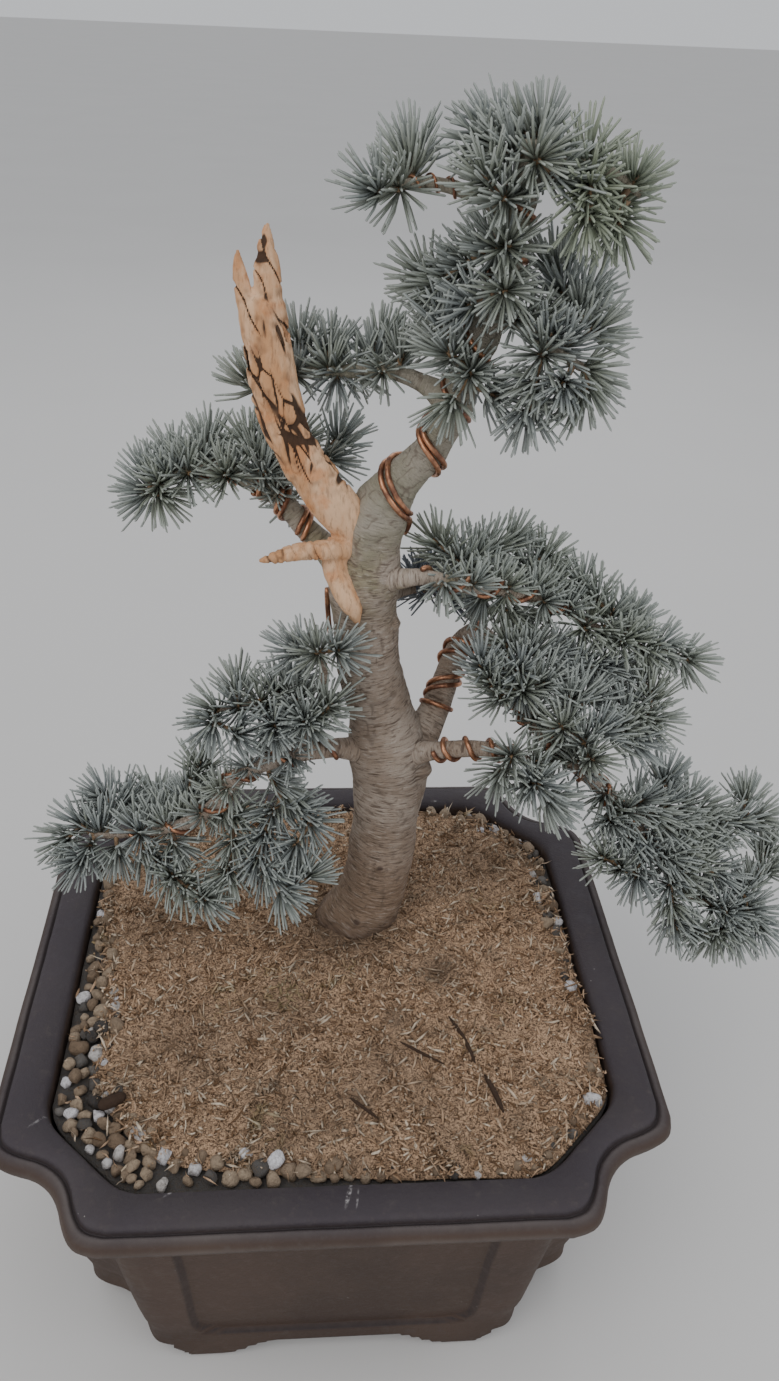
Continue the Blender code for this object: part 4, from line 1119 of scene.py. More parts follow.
def panel_depth(along, height, panel):
    """How far the panel is sunk: nothing outside it, and soft round its edge and its lower corners."""
    inner = panel - PANEL_CORNER
    over_side = np.maximum(np.abs(along) - inner, 0.0)
    over_foot = max(PANEL_FOOT + PANEL_CORNER - height, 0.0)
    inside = PANEL_CORNER - np.hypot(over_side, over_foot)
    return PANEL_DEPTH * smooth_step(0.0, PANEL_SLOPE, inside)


def fine_profile(rows, steps):
    """Extra rows between those of a profile, along straight lines."""
    rows = np.array(rows, float)
    found = [rows[:1]]
    for low, high in zip(rows, rows[1:]):
        fine = min(low[1], high[1]) > LIP_FOOT or max(low[1], high[1]) < FOOT_TOP
        step = LIP_STEP if fine and low[0] > FOOT_INNER and steps < INSIDE_STEP else steps
        count = max(1, math.ceil(float(np.linalg.norm(high[:2] - low[:2])) / step))
        shares = (np.arange(1, count + 1) / count)[:, None]
        found.append(low + (high - low) * shares)
    return np.concatenate(found)


def eased_profile(rows, steps):
    """A profile with its corners softened."""
    fine = fine_profile(rows, steps)
    for _ in range(PROFILE_SOFTENING):
        fine[1:-1] = 0.5 * fine[1:-1] + 0.25 * (fine[:-2] + fine[2:])
    return fine


def sole_height(along):
    """The underside is lifted off the table between two feet, and at each notched corner."""
    arch = smooth_step(FOOT_INNER, FOOT_ARCH_TOP, np.abs(along))
    notch = smooth_step(FOOT_OUTER, FOOT_END, np.abs(along))
    return FOOT_RISE * (arch + notch)


def outer_rings():
    profile = eased_profile(OUTSIDE, PROFILE_STEP)
    rings, crest_highlight, recess_shade = [], [], []
    for half, z, panel in profile:
        plan, along = pot_plan(half, panel)
        height = np.maximum(z, sole_height(along))
        lifted = height > z
        narrowed = np.where(lifted, np.minimum(half, FOOT_WAIST) / half, 1.0)
        depth = panel_depth(along, z, panel) if z < PANEL_TOP else np.zeros(len(along))
        shrink = narrowed * (1 - depth / half)
        rings.append(np.column_stack([plan * shrink[:, None], height]))
        # Painted highlight along the crests of the lip and rim.
        reach = [math.hypot(half - crest[0], z - crest[1]) for crest in HIGHLIGHT_CRESTS]
        crest_highlight.append(np.full(len(plan), math.exp(-((min(reach) / HIGHLIGHT_WIDTH) ** 2))))
        # Painted shade: darkest halfway down the panel's sloping edge, and in the lip's groove.
        sunk = depth / PANEL_DEPTH
        groove = math.exp(-((math.hypot(half - GROOVE[0], z - GROOVE[1]) / GROOVE_WIDTH) ** 2))
        recess_shade.append(np.maximum(4 * sunk * (1 - sunk), groove))
    return rings, crest_highlight, recess_shade


def make_pot(material):
    """The pot, as rings from the drain hole out, up the outside, over the ledge and down again."""
    outer, crest_highlight, recess_shade = outer_rings()
    foot, _ = pot_plan(FOOT_RING_HALF, FOOT_RING_MARK)
    heading = np.arctan2(foot[:, 1], foot[:, 0])
    hole = DRAIN_RADIUS * np.column_stack([np.cos(heading), np.sin(heading)])
    under = [(0.0, FLOOR_UNDER), (0.5, FLOOR_UNDER), (1.0, FLOOR_UNDER)]
    rings = [np.column_stack([hole + (foot - hole) * share, np.full(len(foot), z)]) for share, z in under]
    rings += outer
    for half, z in eased_profile(INSIDE, INSIDE_STEP):
        plan, _ = pot_plan(half, MOUTH_MARK, 0.0, MOUTH_CUT)
        rings.append(np.column_stack([plan, np.full(len(plan), z)]))
    inner = rings[-1][:, :2]
    for share in (0.5, 0.0):
        rings.append(np.column_stack([hole + (inner - hole) * share, np.full(len(hole), FLOOR_TOP)]))
    grid = np.array(rings)
    rows, columns = grid.shape[:2]
    faces = band_faces(rows + 1, columns) % (rows * columns)
    points = grid.reshape(-1, 3)
    radial = unit(points * (1, 1, 0))
    lumps = lumpy(points, POT_LUMPS) * smooth_step(*POT_LUMPS_FADE, points[:, 2])
    points = points + radial * lumps[:, None]
    values = {"crest_highlight": np.zeros((rows, columns)), "recess_shade": np.zeros((rows, columns))}
    values["crest_highlight"][len(under) : len(under) + len(crest_highlight)] = crest_highlight
    values["recess_shade"][len(under) : len(under) + len(recess_shade)] = recess_shade
    # The rings are counted from the table, so they move down to the rim's own heights.
    points[:, 2] -= RIM_Z
    points[:, 1] *= POT_DEEP
    values = {key: numbers.ravel() for key, numbers in values.items()}
    add_piece("pot_body", points, faces, material, "pot", values)


def ground(x, y):
    """Height of the growing mix: nearly level, with a low mound round the trunk."""
    reach = np.hypot(x - TRUNK[2][0], y - TRUNK[2][1]) / MOUTH_HALF
    waves = GROUND_WAVE * np.sin(WAVES_ACROSS * x + WAVE_START) * np.cos(WAVES_DEEP * y)
    return MIX_EDGE + MIX_RISE * np.exp(-MOUND_FALL * reach**2) + waves


def mouth_plan(half):
    plan, _ = pot_plan(half, MOUTH_MARK, 0.0, MOUTH_CUT)
    return plan[::2] * (1.0, POT_DEEP)


def moss_share(plan, rough):
    """How far out the moss reaches: less at the front left, and a little less at the back right."""
    heading = np.arctan2(plan[:, 1], plan[:, 0])
    facing = np.maximum(0.0, np.cos(heading - MOSS_BARE_HEADING))
    behind = np.maximum(0.0, np.cos(heading - MOSS_BARE_BEHIND)) ** 8
    wander = lumpy(on_level(plan), ((MOSS_WANDER, MOSS_WANDER_SEED, rough),))
    bare = MOSS_BARE_EDGE * facing**3
    return 1.0 - bare - MOSS_BARE_STRIP * behind - MOSS_INSET - wander * (MOSS_WANDER_LEAST + facing)


def make_mix(material):
    """The growing mix: a body that fills the pot, with loose grains where the moss leaves it bare."""
    rings = []
    for half, z in reversed(INSIDE[3:]):
        plan = mouth_plan(half - WALL_GAP)
        rings.append(np.column_stack([plan, np.full(len(plan), z + WALL_GAP - RIM_Z)]))
    top = mouth_plan(INSIDE[2][0] - WALL_GAP)
    for share in np.linspace(1.0, MIX_INNERMOST, MIX_RINGS):
        plan = top * share
        height = ground(plan[:, 0], plan[:, 1]) - MIX_UNDER
        rings.append(np.column_stack([plan, height + lumpy(on_level(plan), MIX_LUMPS)]))
    parts = [closed_tube(np.array(rings))]
    tones = [np.full(len(parts[0][0]), MIX_TONE)]
    kinds = [np.full(len(parts[0][0]), GRIT)]
    rng = np.random.default_rng(GRAIN_SEED)
    for centre, size, kind, detail in grains(top, rng):
        points, faces = grain_shape(centre, size, detail, rng)
        parts.append((points, faces))
        tones.append(np.full(len(points), rng.uniform(0, 1)))
        kinds.append(np.full(len(points), kind))
    points, faces = joined(parts)
    values = {"tone": np.concatenate(tones), "kind": np.concatenate(kinds)}
    add_piece("mix_body", points, faces, material, "growing_mix", values)


def grains(top, rng):
    """Where each loose grain lies, its size, its kind and its detail."""
    found = []
    taken = []
    reach = moss_share(top, 0.0)
    tries = 0
    while len(found) < GRAIN_COUNT and tries < GRAIN_TRIES * GRAIN_COUNT:
        tries += 1
        spot = int(rng.integers(len(top)))
        bare = 1.0 - reach[spot]
        if bare < GRAIN_BARE and rng.uniform() > GRAIN_ELSEWHERE:
            continue
        size = GRAIN_SIZES[int(np.searchsorted(GRAIN_SHARES, len(found) / GRAIN_COUNT, "right"))]
        inset = size / MOUTH_HALF
        share = rng.uniform(reach[spot] - GRAIN_BAND, 1.0 - inset)
        x, y = top[spot] * share
        lift = rng.choice(GRAIN_LIFTS) * size
        centre = np.array((x, y, ground(x, y) + size * GRAIN_PROUD + lift))
        if any(np.linalg.norm(centre - other) < GRAIN_APART * (size + width) for other, width in taken):
            continue
        taken.append((centre, size))
        kind = rng.choice((AKADAMA, GRIT, PUMICE), p=GRAIN_MIX)
        found.append((centre, size, kind, 2 if size > GRAIN_DETAILED else 1))
    return found


def sphere(detail):
    bm = bmesh.new()
    bmesh.ops.create_icosphere(bm, subdivisions=detail + 1, radius=1.0)
    points = np.array([v.co for v in bm.verts])
    faces = np.array([[v.index for v in face.verts] for face in bm.faces])
    bm.free()
    return points, faces


def grain_shape(centre, size, detail, rng):
    """A chipped lump: a sphere flattened on a few random sides."""
    points, faces = SPHERES[detail]
    points = points.copy()
    for _ in range(GRAIN_FACETS):
        facet = unit(rng.normal(size=3))
        over = points @ facet - rng.uniform(*FACET_AT)
        points -= np.maximum(over, 0.0)[:, None] * facet * FACET_FLATNESS
    stretched = points * rng.uniform(*GRAIN_STRETCH, 3)
    points = stretched @ np.array(Matrix.Rotation(rng.uniform(0, 6), 3, rng.normal(size=3)))
    size_of_lumps, height = GRAIN_LUMPS
    points = points + noise(points, size_of_lumps, int(rng.integers(99)))[:, None] * points * height
    return centre + points * size, faces


def blades(bases, ahead, bends, lengths, radii, stations, widths, sides):
    """Many thin tapering blades at once: their points, triangles, share of the length and blade number."""
    count, rows = len(bases), len(stations)
    reference = np.where(np.abs(ahead[:, 2:3]) > 0.9, (1.0, 0.0, 0.0), (0.0, 0.0, 1.0))
    across = unit(np.cross(ahead, reference))
    out = np.cross(ahead, across)
    share = np.array(stations)[None, :, None]
    line = bases[:, None] + lengths[:, None, None] * (ahead[:, None] * share + bends[:, None] * share**2)
    ring = ring_round(across, out, sides)
    thick = radii[:, None, None, None] * np.array(widths)[None, :, None, None]
    grid = line[:, :, None] + thick * ring[:, None]
    tips = bases + lengths[:, None] * (ahead + bends)
    points = np.concatenate([grid.reshape(count, rows * sides, 3), tips[:, None]], axis=1)
    ring_index = np.arange(sides)
    last = (rows - 1) * sides
    cap = np.stack([ring_index + last, np.roll(ring_index, -1) + last, np.full(sides, rows * sides)], -1)
    base = np.stack([np.zeros(sides - 2, int), ring_index[2:], ring_index[1:-1]], -1)
    one = np.concatenate([band_faces(rows, sides), cap, base])
    faces = (one[None] + (np.arange(count) * (rows * sides + 1))[:, None, None]).reshape(-1, 3)
    along = np.tile(np.append(np.repeat(stations, sides), 1.0), count)
    number = np.repeat(np.arange(count), rows * sides + 1)
    return points.reshape(-1, 3), faces, along, number


def spread(rng, outline, share, count):
    """Random spots over the inside of an outline, evenly by area."""
    which = rng.integers(len(outline), size=count)
    out = share[which] * np.sqrt(rng.uniform(0.0, 1.0, count))
    return outline[which] * out[:, None]


def moss_shade(flat):
    """1 in the darkest patches of the moss and 0 in its sunny parts."""
    shade = np.zeros(len(flat))
    for size, seed, start, full, dark in MOSS_PATCHES:
        shade = shade + dark * smooth_step(start, full, noise(flat, size, seed))
    for centre, radius, dark in MOSS_SPOTS:
        off = np.hypot(flat[:, 0] - centre[0], flat[:, 1] - centre[1]) / radius
        shade = np.maximum(shade, dark * np.exp(-(off**2)))
    return shade


def make_moss(material):
    """Chopped dry moss: a lumpy bed with curled flakes lying on it, a chip of bark and a few dead twigs."""
    top = mouth_plan(INSIDE[2][0] - WALL_GAP)
    share = moss_share(top, MOSS_ROUGH)
    rings = []
    below = np.linspace(0.2, 1.0, BED_RINGS_BELOW)
    shares = np.concatenate([below, np.linspace(1.0, 0.1, BED_RINGS)])
    for number, ring in enumerate(shares):
        plan = top * (share * ring)[:, None]
        flat = on_level(plan)
        if number < BED_RINGS_BELOW:
            height = ground(plan[:, 0], plan[:, 1]) + MOSS_LIFT
        else:
            depth = MOSS_EDGE_THICK + (MOSS_THICK - MOSS_EDGE_THICK) * min(1.0, (1 - ring) / MOSS_SLOPE)
            lumps = lumpy(flat, MOSS_LUMPS)
            height = ground(plan[:, 0], plan[:, 1]) + max(depth - BED_SUNK, MOSS_LIFT) + lumps
        rings.append(np.column_stack([plan, height]))
    bed = closed_tube(np.array(rings))
    rng = np.random.default_rng(MOSS_SEED)
    stray = rng.uniform(size=(FLAKE_COUNT, 1)) < MOSS_STRAY
    outside = spread(rng, top, np.full(len(share), MOSS_STRAY_REACH), FLAKE_COUNT)
    spots = np.where(stray, outside, spread(rng, top, share * MOSS_OVERLAP, FLAKE_COUNT))
    keep = np.hypot(spots[:, 0] - TRUNK[2][0], spots[:, 1] - TRUNK[2][1]) > TRUNK_CLEAR
    spots = spots[keep]
    count = len(spots)
    flat = on_level(spots)
    lumps = lumpy(flat, MOSS_LUMPS)
    depth = MOSS_THICK - BED_SUNK
    height = ground(spots[:, 0], spots[:, 1]) + depth + lumps + rng.uniform(*FLAKE_RISE, count)
    heading = rng.uniform(0, 2 * math.pi, count)
    tilt = rng.normal(0.0, FLAKE_TILT, count)
    ahead = np.column_stack([np.cos(heading) * np.cos(tilt), np.sin(heading) * np.cos(tilt), np.sin(tilt)])
    curl = unit(rng.normal(size=(count, 3)) * (1, 1, 0.6)) * rng.uniform(*FLAKE_CURL, count)[:, None]
    lengths = FLAKE_LENGTH * rng.uniform(FLAKE_SHORTEST, 1.0, count) ** FLAKE_SHORTNESS
    radii = FLAKE_RADIUS * rng.uniform(FLAKE_THINNEST, 1.0, count)
    bases = np.column_stack([spots, height]) - ahead * lengths[:, None] * 0.5
    shape = (FLAKE_STATIONS, FLAKE_WIDTHS, BLADE_SIDES)
    points, faces, _, number = blades(bases, ahead, curl, lengths, radii, *shape)
    tone = rng.uniform(0, 1, count)[number]
    parts = [bed, (points, faces)]
    tones = [np.full(len(bed[0]), 0.4), tone]
    kinds = [np.zeros(len(bed[0])), np.full(len(points), 0.3)]
    for start, end, radius in TWIGS:
        part = make_twig(start, end, radius, rng)
        parts.append(part)
        tones.append(np.full(len(part[0]), 0.5))
        kinds.append(np.ones(len(part[0])))
    points, faces = joined(parts)
    shade = moss_shade(points * (1, 1, 0))
    values = {"tone": np.concatenate(tones), "kind": np.concatenate(kinds), "shade": shade}
    add_piece("moss_bed", points, faces, material, "moss_dressing", values)


def make_twig(start, end, radius, rng):
    """A dead twig or chip lying on the moss between two spots."""
    shares = np.linspace(0, 1, len(TWIG_SHAPE))[:, None]
    line = np.array(start) + (np.array(end) - np.array(start)) * shares
    bend = np.sin(shares[:, 0] * math.pi) * rng.uniform(-TWIG_BEND, TWIG_BEND)
    height = ground(line[:, 0], line[:, 1]) + MOSS_THICK + radius * 0.3
    centre = np.column_stack([line[:, 0] + bend, line[:, 1], height])
    taper = radius * np.array(TWIG_SHAPE) * rng.uniform(0.85, 1.1, len(TWIG_SHAPE))
    return round_tube(np.column_stack([centre, taper]), TWIG_SIDES)


def round_tube(route, sides):
    """A closed round tube along a route of x, y, z, radius."""
    across, out = frames_along(route[:, :3])
    ring = ring_round(across, out, sides)
    return closed_tube(route[:, None, :3] + route[:, None, 3:4] * ring)


def root_swell(centre, reach):
    """How far the trunk's base spreads into its surface roots, by height and heading."""
    low = np.clip((ROOT_TOP - centre[..., 2]) / (2 * ROOT_TOP), 0.0, 1.0)
    heading = np.arctan2(reach[..., 1], reach[..., 0])
    swell = np.zeros(heading.shape)
    for root in ROOT_HEADINGS:
        off = np.remainder(heading - root + math.pi, 2 * math.pi) - math.pi
        swell += np.exp(-((off / ROOT_WIDTH) ** 2))
    return 1.0 + ROOT_SWELL * swell * low**2


def bark_relief(points, wrapped, reference, seed):
    """Height of the bark, and its creases: fine wrinkles round the wood, with broader lumps under them."""
    wrinkles = noise(wrapped, (WRINKLE_LONG, WRINKLE_LONG, WRINKLE_SHORT), seed)
    lines = veins(wrapped, (WRINKLE_LONG, WRINKLE_LONG, 3 * WRINKLE_SHORT), seed + 1)
    creases = np.maximum(lines - CREASE_LIMIT, 0) * CREASE_GAIN
    lumps = noise(points, 1.1 * reference + 0.002, seed + 2)
    small = noise(points, BARK_SMALL, seed + 3)
    scale = min(1.0, reference / BARK_FULL_RADIUS)
    height = WRINKLE_HIGH * wrinkles - CREASE_DEEP * creases + LUMP_HIGH * lumps + WRINKLE_HIGH * small
    return scale * height, creases


def wood_grid(route, sides, seed, bumps=(), swell=None):
    """Rings of points round a length of wood, with its bark's relief and its knots."""
    across, out = frames_along(route[:, :3])
    ring = ring_round(across, out, sides)
    reach = ring * route[:, None, 3:4]
    if swell:
        reach = reach * swell(route[:, None, :3], reach)[..., None]
    points = (route[:, None, :3] + reach).reshape(-1, 3)
    along = np.repeat(lengths_along(route[:, :3]), sides)
    heading = np.tile(2 * math.pi * np.arange(sides) / sides, len(route))
    reference = float(np.median(route[:, 3]))
    wrapped = np.column_stack([np.cos(heading) * reference, np.sin(heading) * reference, along])
    height, crease = bark_relief(points, wrapped, reference, seed)
    knot = np.zeros(len(points))
    for centre, size, rise, dark in bumps:
        off = np.linalg.norm(points - np.array(centre), axis=1) / size
        moat = np.exp(-(((off - MOAT_AT) / MOAT_WIDTH) ** 2))
        height += rise * np.exp(-(off**2)) - MOAT_DEEP * rise * moat
        knot = np.maximum(knot, dark * np.exp(-(off**2)))
    points = points + ring.reshape(-1, 3) * height[:, None]
    values = {"crease": crease, "knot": knot}
    values.update(zip(("wrap_x", "wrap_y", "wrap_z"), wrapped.T))
    values = {key: np.concatenate([column, column[:1], column[-1:]]) for key, column in values.items()}
    return *closed_tube(points.reshape(len(route), sides, 3)), values


def make_trunk(material):
    route = smooth_route(TRUNK, TRUNK_STEPS)
    bumps = list(KNOTS)
    for name, wood in BRANCHES.items():
        if name not in FROM_BRANCH:
            bumps.append((wood[0][:3], wood[0][3] * FORK_WIDTH, wood[0][3] * FORK_RISE, 0.0))
    points, faces, values = wood_grid(route, TRUNK_SIDES, TRUNK_SEED, bumps, root_swell)
    add_piece("trunk_wood", points, faces, material, "trunk", values)


def make_branches(material):
    """Each branch, with a collar where it leaves the wood that it grows from."""
    for number, (name, wood) in enumerate(BRANCHES.items()):
        route = smooth_route(wood, BRANCH_STEPS)
        along = lengths_along(route[:, :3])
        collar = COLLAR_ON_BRANCH if name in FROM_BRANCH else COLLAR_ON_TRUNK
        start = wood[0][3] * COLLAR_LENGTH
        route[:, 3] *= 1 + collar * np.exp(-np.maximum(along - start, 0) / (COLLAR_FALL * wood[0][3]))
        rng = np.random.default_rng(BRANCH_KNOT_SEED + number)
        bumps = []
        for spot in range(3 * BRANCH_STEPS // 2, len(route) - 3, BRANCH_STEPS // 2 + 2):
            aside = unit(rng.normal(size=3)) * route[spot, 3]
            knot = (SMALL_KNOT, rng.uniform(*SMALL_KNOT_RISE), SMALL_KNOT_DARK)
            bumps.append((route[spot, :3] + aside, *knot))
        sides = BRANCH_SIDES_THICK if wood[0][3] > THICK_BRANCH else BRANCH_SIDES
        points, faces, values = wood_grid(route, sides, BRANCH_SEED + number, bumps)
        add_piece("wood_" + name, points, faces, material, "branch_" + name, values)


def flat_tube(route, sides, flatten):
    """A closed tube that is narrower across than it is wide."""
    route = smooth_route(route, JIN_STEPS)
    across, out = frames_along(route[:, :3])
    return closed_tube(route[:, None, :3] + route[:, None, 3:4] * ring_round(across, out, sides, flatten))


def remeshed(piece, voxel):
    """The piece's mesh as one closed skin."""
    modifier = piece.modifiers.new("Skin", "REMESH")
    modifier.mode = "VOXEL"
    modifier.voxel_size = voxel
    settle(piece)


def settle(piece):
    """Replaces an object's mesh with the result of its modifiers."""
    bpy.context.view_layer.update()
    graph = bpy.context.evaluated_depsgraph_get()
    mesh = bpy.data.meshes.new_from_object(piece.evaluated_get(graph))
    piece.modifiers.clear()
    piece.data = mesh


def triangles_of(piece):
    mesh = piece.data
    mesh.calc_loop_triangles()
    points = np.empty(len(mesh.vertices) * 3, np.float32)
    mesh.vertices.foreach_get("co", points)
    faces = np.empty(len(mesh.loop_triangles) * 3, np.int32)
    mesh.loop_triangles.foreach_get("vertices", faces)
    normals = np.empty(len(mesh.vertices) * 3, np.float32)
    mesh.vertices.foreach_get("normal", normals)
    return points.reshape(-1, 3).astype(float), faces.reshape(-1, 3), normals.reshape(-1, 3).astype(float)


def jin_skin():
    """The jin in one skin, with its slots cut: its points, triangles and normals."""
    parts = [flat_tube(JIN_SHAFT, JIN_SIDES, JIN_DEPTH)]
    parts += [flat_tube(route, JIN_SIDES_THIN, JIN_DEPTH) for route in JIN_PRONGS]
    parts += [flat_tube(JIN_SPUR, JIN_SIDES_THIN, 1.0), flat_tube(JIN_STRIP, JIN_SIDES_THIN, STRIP_DEPTH)]
    body = make_mesh("jin_body", *joined(parts), {})
    remeshed(body, JIN_VOXEL)
    for number, (centre, ahead, size) in enumerate(JIN_SLOTS):
        points, faces = SPHERES[2]
        turn = np.array(Vector(ahead).to_track_quat("Z", "Y").to_matrix())
        slot = make_mesh(f"slot_{number}", (points * np.array(size)) @ turn.T + np.array(centre), faces, {})
        modifier = body.modifiers.new("Slot", "BOOLEAN")
        modifier.operation = "DIFFERENCE"
        modifier.object = slot
        modifier.solver = "MANIFOLD"
        settle(body)
        bpy.data.objects.remove(slot, do_unlink=True)
    remeshed(body, JIN_VOXEL)
    found = triangles_of(body)
    bpy.data.objects.remove(body, do_unlink=True)
    return found


def jin_cracks(points, own, busy):
    """1 in the cracks and channels of the jin, and 0 between them."""
    warp = np.column_stack([noise(own, JIN_WARP_SIZE, seed) for seed in JIN_WARP_SEEDS])
    dense = web(own + warp * JIN_WARP, JIN_WEB_DENSE, JIN_WEB_SEEDS[0])
    sparse = web(own + warp * JIN_WARP, JIN_WEB_SPARSE, JIN_WEB_SEEDS[1])
    breaks = smooth_step(*BREAKS_FADE, noise(own, *JIN_BREAKS))
    middle = smooth_step(*DENSE_FOOT, points[:, 2]) * smooth_step(*DENSE_TOP, points[:, 2])
    lines = np.maximum(smooth_step(*SPARSE_WIDTH, sparse), smooth_step(*DENSE_WIDTH, dense) * middle)
    return lines * breaks * busy


def make_jin(material):
    """The dead stub: split along its grain, slotted, and eaten into winding channels."""
    points, faces, normals = jin_skin()
    grain_line = unit(np.array(JIN_SHAFT[-2][:3]) - np.array(JIN_SHAFT[0][:3]))
    across = unit(np.cross(grain_line, (0.0, 1.0, 0.0)))
    own = points @ np.column_stack([grain_line, across, np.cross(grain_line, across)])
    pits = noise(own, *JIN_PITS)
    shaft = smooth_step(*SHAFT_FROM, points[:, 2])
    spur = smooth_step(*SPUR_BELOW, points[:, 2]) * smooth_step(*SPUR_LEFT_OF, points[:, 0])
    busy = np.maximum(shaft, BUSY_SPUR * spur + BUSY_LEAST)
    crack = jin_cracks(points, own, busy)
    ridges = noise(own, *JIN_RIDGES)
    depth = CRACK_DEEP * crack + PIT_DEEP * np.maximum(pits, 0) * busy
    points = points + normals * (RIDGE_HIGH * ridges - depth)[:, None]
    values = {"crack": crack, "pit": np.maximum(pits, 0) * busy, "busy": busy}
    add_piece("jin_wood", points, faces, material, "jin", values)


def wood_route(wood):
    return TRUNK if wood == "trunk" else BRANCHES[wood]


def wood_at(wood, shares):
    """The wood's middle line with its radius, and two directions across it, at shares of its length."""
    route = smooth_route(wood_route(wood), WIRE_ROUTE_STEPS)
    across, out = frames_along(route[:, :3])
    along = lengths_along(route[:, :3])
    return [
        np.column_stack([np.interp(np.array(shares) * along[-1], along, column) for column in line.T])
        for line in (route, across, out)
    ]


def make_coil(name, wood, radius, rows, material):
    """Copper wire wound on a piece of wood, pressed a little way into its bark."""
    stops = np.array([stop for row in rows for stop in row])
    shares, turns = stops[:, 0], stops[:, 1]
    pace = np.maximum(np.abs(np.diff(turns)), np.diff(shares) * LEAST_TURNS)
    travel = np.concatenate([[0.0], np.cumsum(pace)])
    steps = np.linspace(0.0, travel[-1], math.ceil(travel[-1] * WIRE_STEPS_A_TURN) + 1)
    angles = 2 * math.pi * np.interp(steps, travel, turns)
    angles[1:-1] = 0.25 * angles[:-2] + 0.5 * angles[1:-1] + 0.25 * angles[2:]
    centres, across, out = wood_at(wood, np.interp(steps, travel, shares))
    reach = (centres[:, 3] + radius * WIRE_PROUD)[:, None]
    points = centres[:, :3] + reach * (across * np.cos(angles)[:, None] + out * np.sin(angles)[:, None])
    thick = np.full(len(points), radius)
    thick[[0, -1]] *= WIRE_END
    points, faces = round_tube(np.column_stack([points, thick]), WIRE_SIDES)
    add_piece("copper_" + name, points, faces, material, name)


def pad_tips(rows):
    return [tip for row in rows for tip in (row if isinstance(row[0], tuple) else (row,))]


def filled_in(tips):
    """The tips of a pad, with more of them halfway between neighbours."""
    tips = [np.array(tip) for tip in tips]
    pairs = []
    for i, one in enumerate(tips):
        for other in tips[:i]:
            gap = float(np.linalg.norm(one - other))
            if INFILL_NEAR < gap < INFILL_FAR:
                pairs.append((gap, (one + other) / 2))
    found = list(tips)
    for _, middle in sorted(pairs, key=lambda pair: pair[0]):
        if all(np.linalg.norm(middle - other) > INFILL_APART for other in found):
            found.append(middle)
    return found


def shoots_of(wood, tips, rng):
    """The twigs of one pad, and each needle cluster's place, direction and size.

    A twig leaves the nearest spot of the wood or of an earlier twig.
    """
    line = smooth_route(wood_route(wood), STOCK_STEPS)[:, :3]
    stock = line
    twigs, clusters, roots = [], [], []
    near_first = sorted(filled_in(tips), key=lambda tip: np.min(np.linalg.norm(line - tip, axis=1)))
    for tip in near_first:
        roots.append(int(np.argmin(np.linalg.norm(line - tip, axis=1))))
        root = stock[int(np.argmin(np.linalg.norm(stock - tip, axis=1)))]
        reach = float(np.linalg.norm(tip - root))
        ahead = unit(tip - root)
        shares = np.linspace(0, 1, SHOOT_POINTS)[:, None]
        sag = np.sin(shares * math.pi) * rng.normal(size=3) * SHOOT_SAG * reach
        path = root + (tip - root) * shares + sag
        if reach > TWIG_LEAST:
            thick = np.interp(shares[:, 0], (0, 1), SHOOT_RADII)
            twigs.append(np.column_stack([path, thick]))
            stock = np.vstack([stock, path[2:6]])
        axis = unit(ahead + np.array(TIP_LEAN) + rng.normal(size=3) * TIP_STRAY)
        clusters.append((tip, axis, 1.0))
        count = int((reach - SPUR_FREE) / SPUR_STEP)
        for k in range(count):
            spot = root + (tip - root) * (k + 0.6) / (count + 0.6)
            turn = k * GOLDEN_TURN + rng.uniform(0, 6)
            clusters.append((spot, spur_axis(ahead, turn, TWIG_SPUR_LEAN), rng.uniform(*TWIG_SPUR_SIZES)))
    if wood != "trunk":
        along = lengths_along(line)
        low, high = max(min(roots) - 2, 0), min(max(roots) + 2, len(line) - 1)
        count = int((along[high] - along[low]) / SPUR_STEP)
        for k in range(count):
            place = along[low] + (along[high] - along[low]) * (k + 0.5) / count
            spot = np.array([np.interp(place, along, line[:, axis]) for axis in range(3)])
            spot_ahead = unit(line[high] - line[low])
            axis = spur_axis(spot_ahead, k * GOLDEN_TURN + rng.uniform(0, 1), WOOD_SPUR_LEAN)
            if axis[2] > SPUR_LEAST_RISE:
                clusters.append((spot + axis * SPUR_LENGTH, axis, rng.uniform(*WOOD_SPUR_SIZES)))
    kept = []
    for spot, axis, size in clusters:
        if all(np.linalg.norm(spot - other[0]) > CLUSTER_APART for other in kept):
            kept.append((spot, axis, size))
    return twigs, kept


def spur_axis(ahead, turn, lean):
    """A direction out of a twig's side, leaning along it and a little upward."""
    across = unit(np.cross(ahead, (0.0, 0.3, 1.0)))
    out = np.cross(ahead, across)
    return unit(across * math.cos(turn) + out * math.sin(turn) + ahead * lean + np.array(SPUR_LIFT))


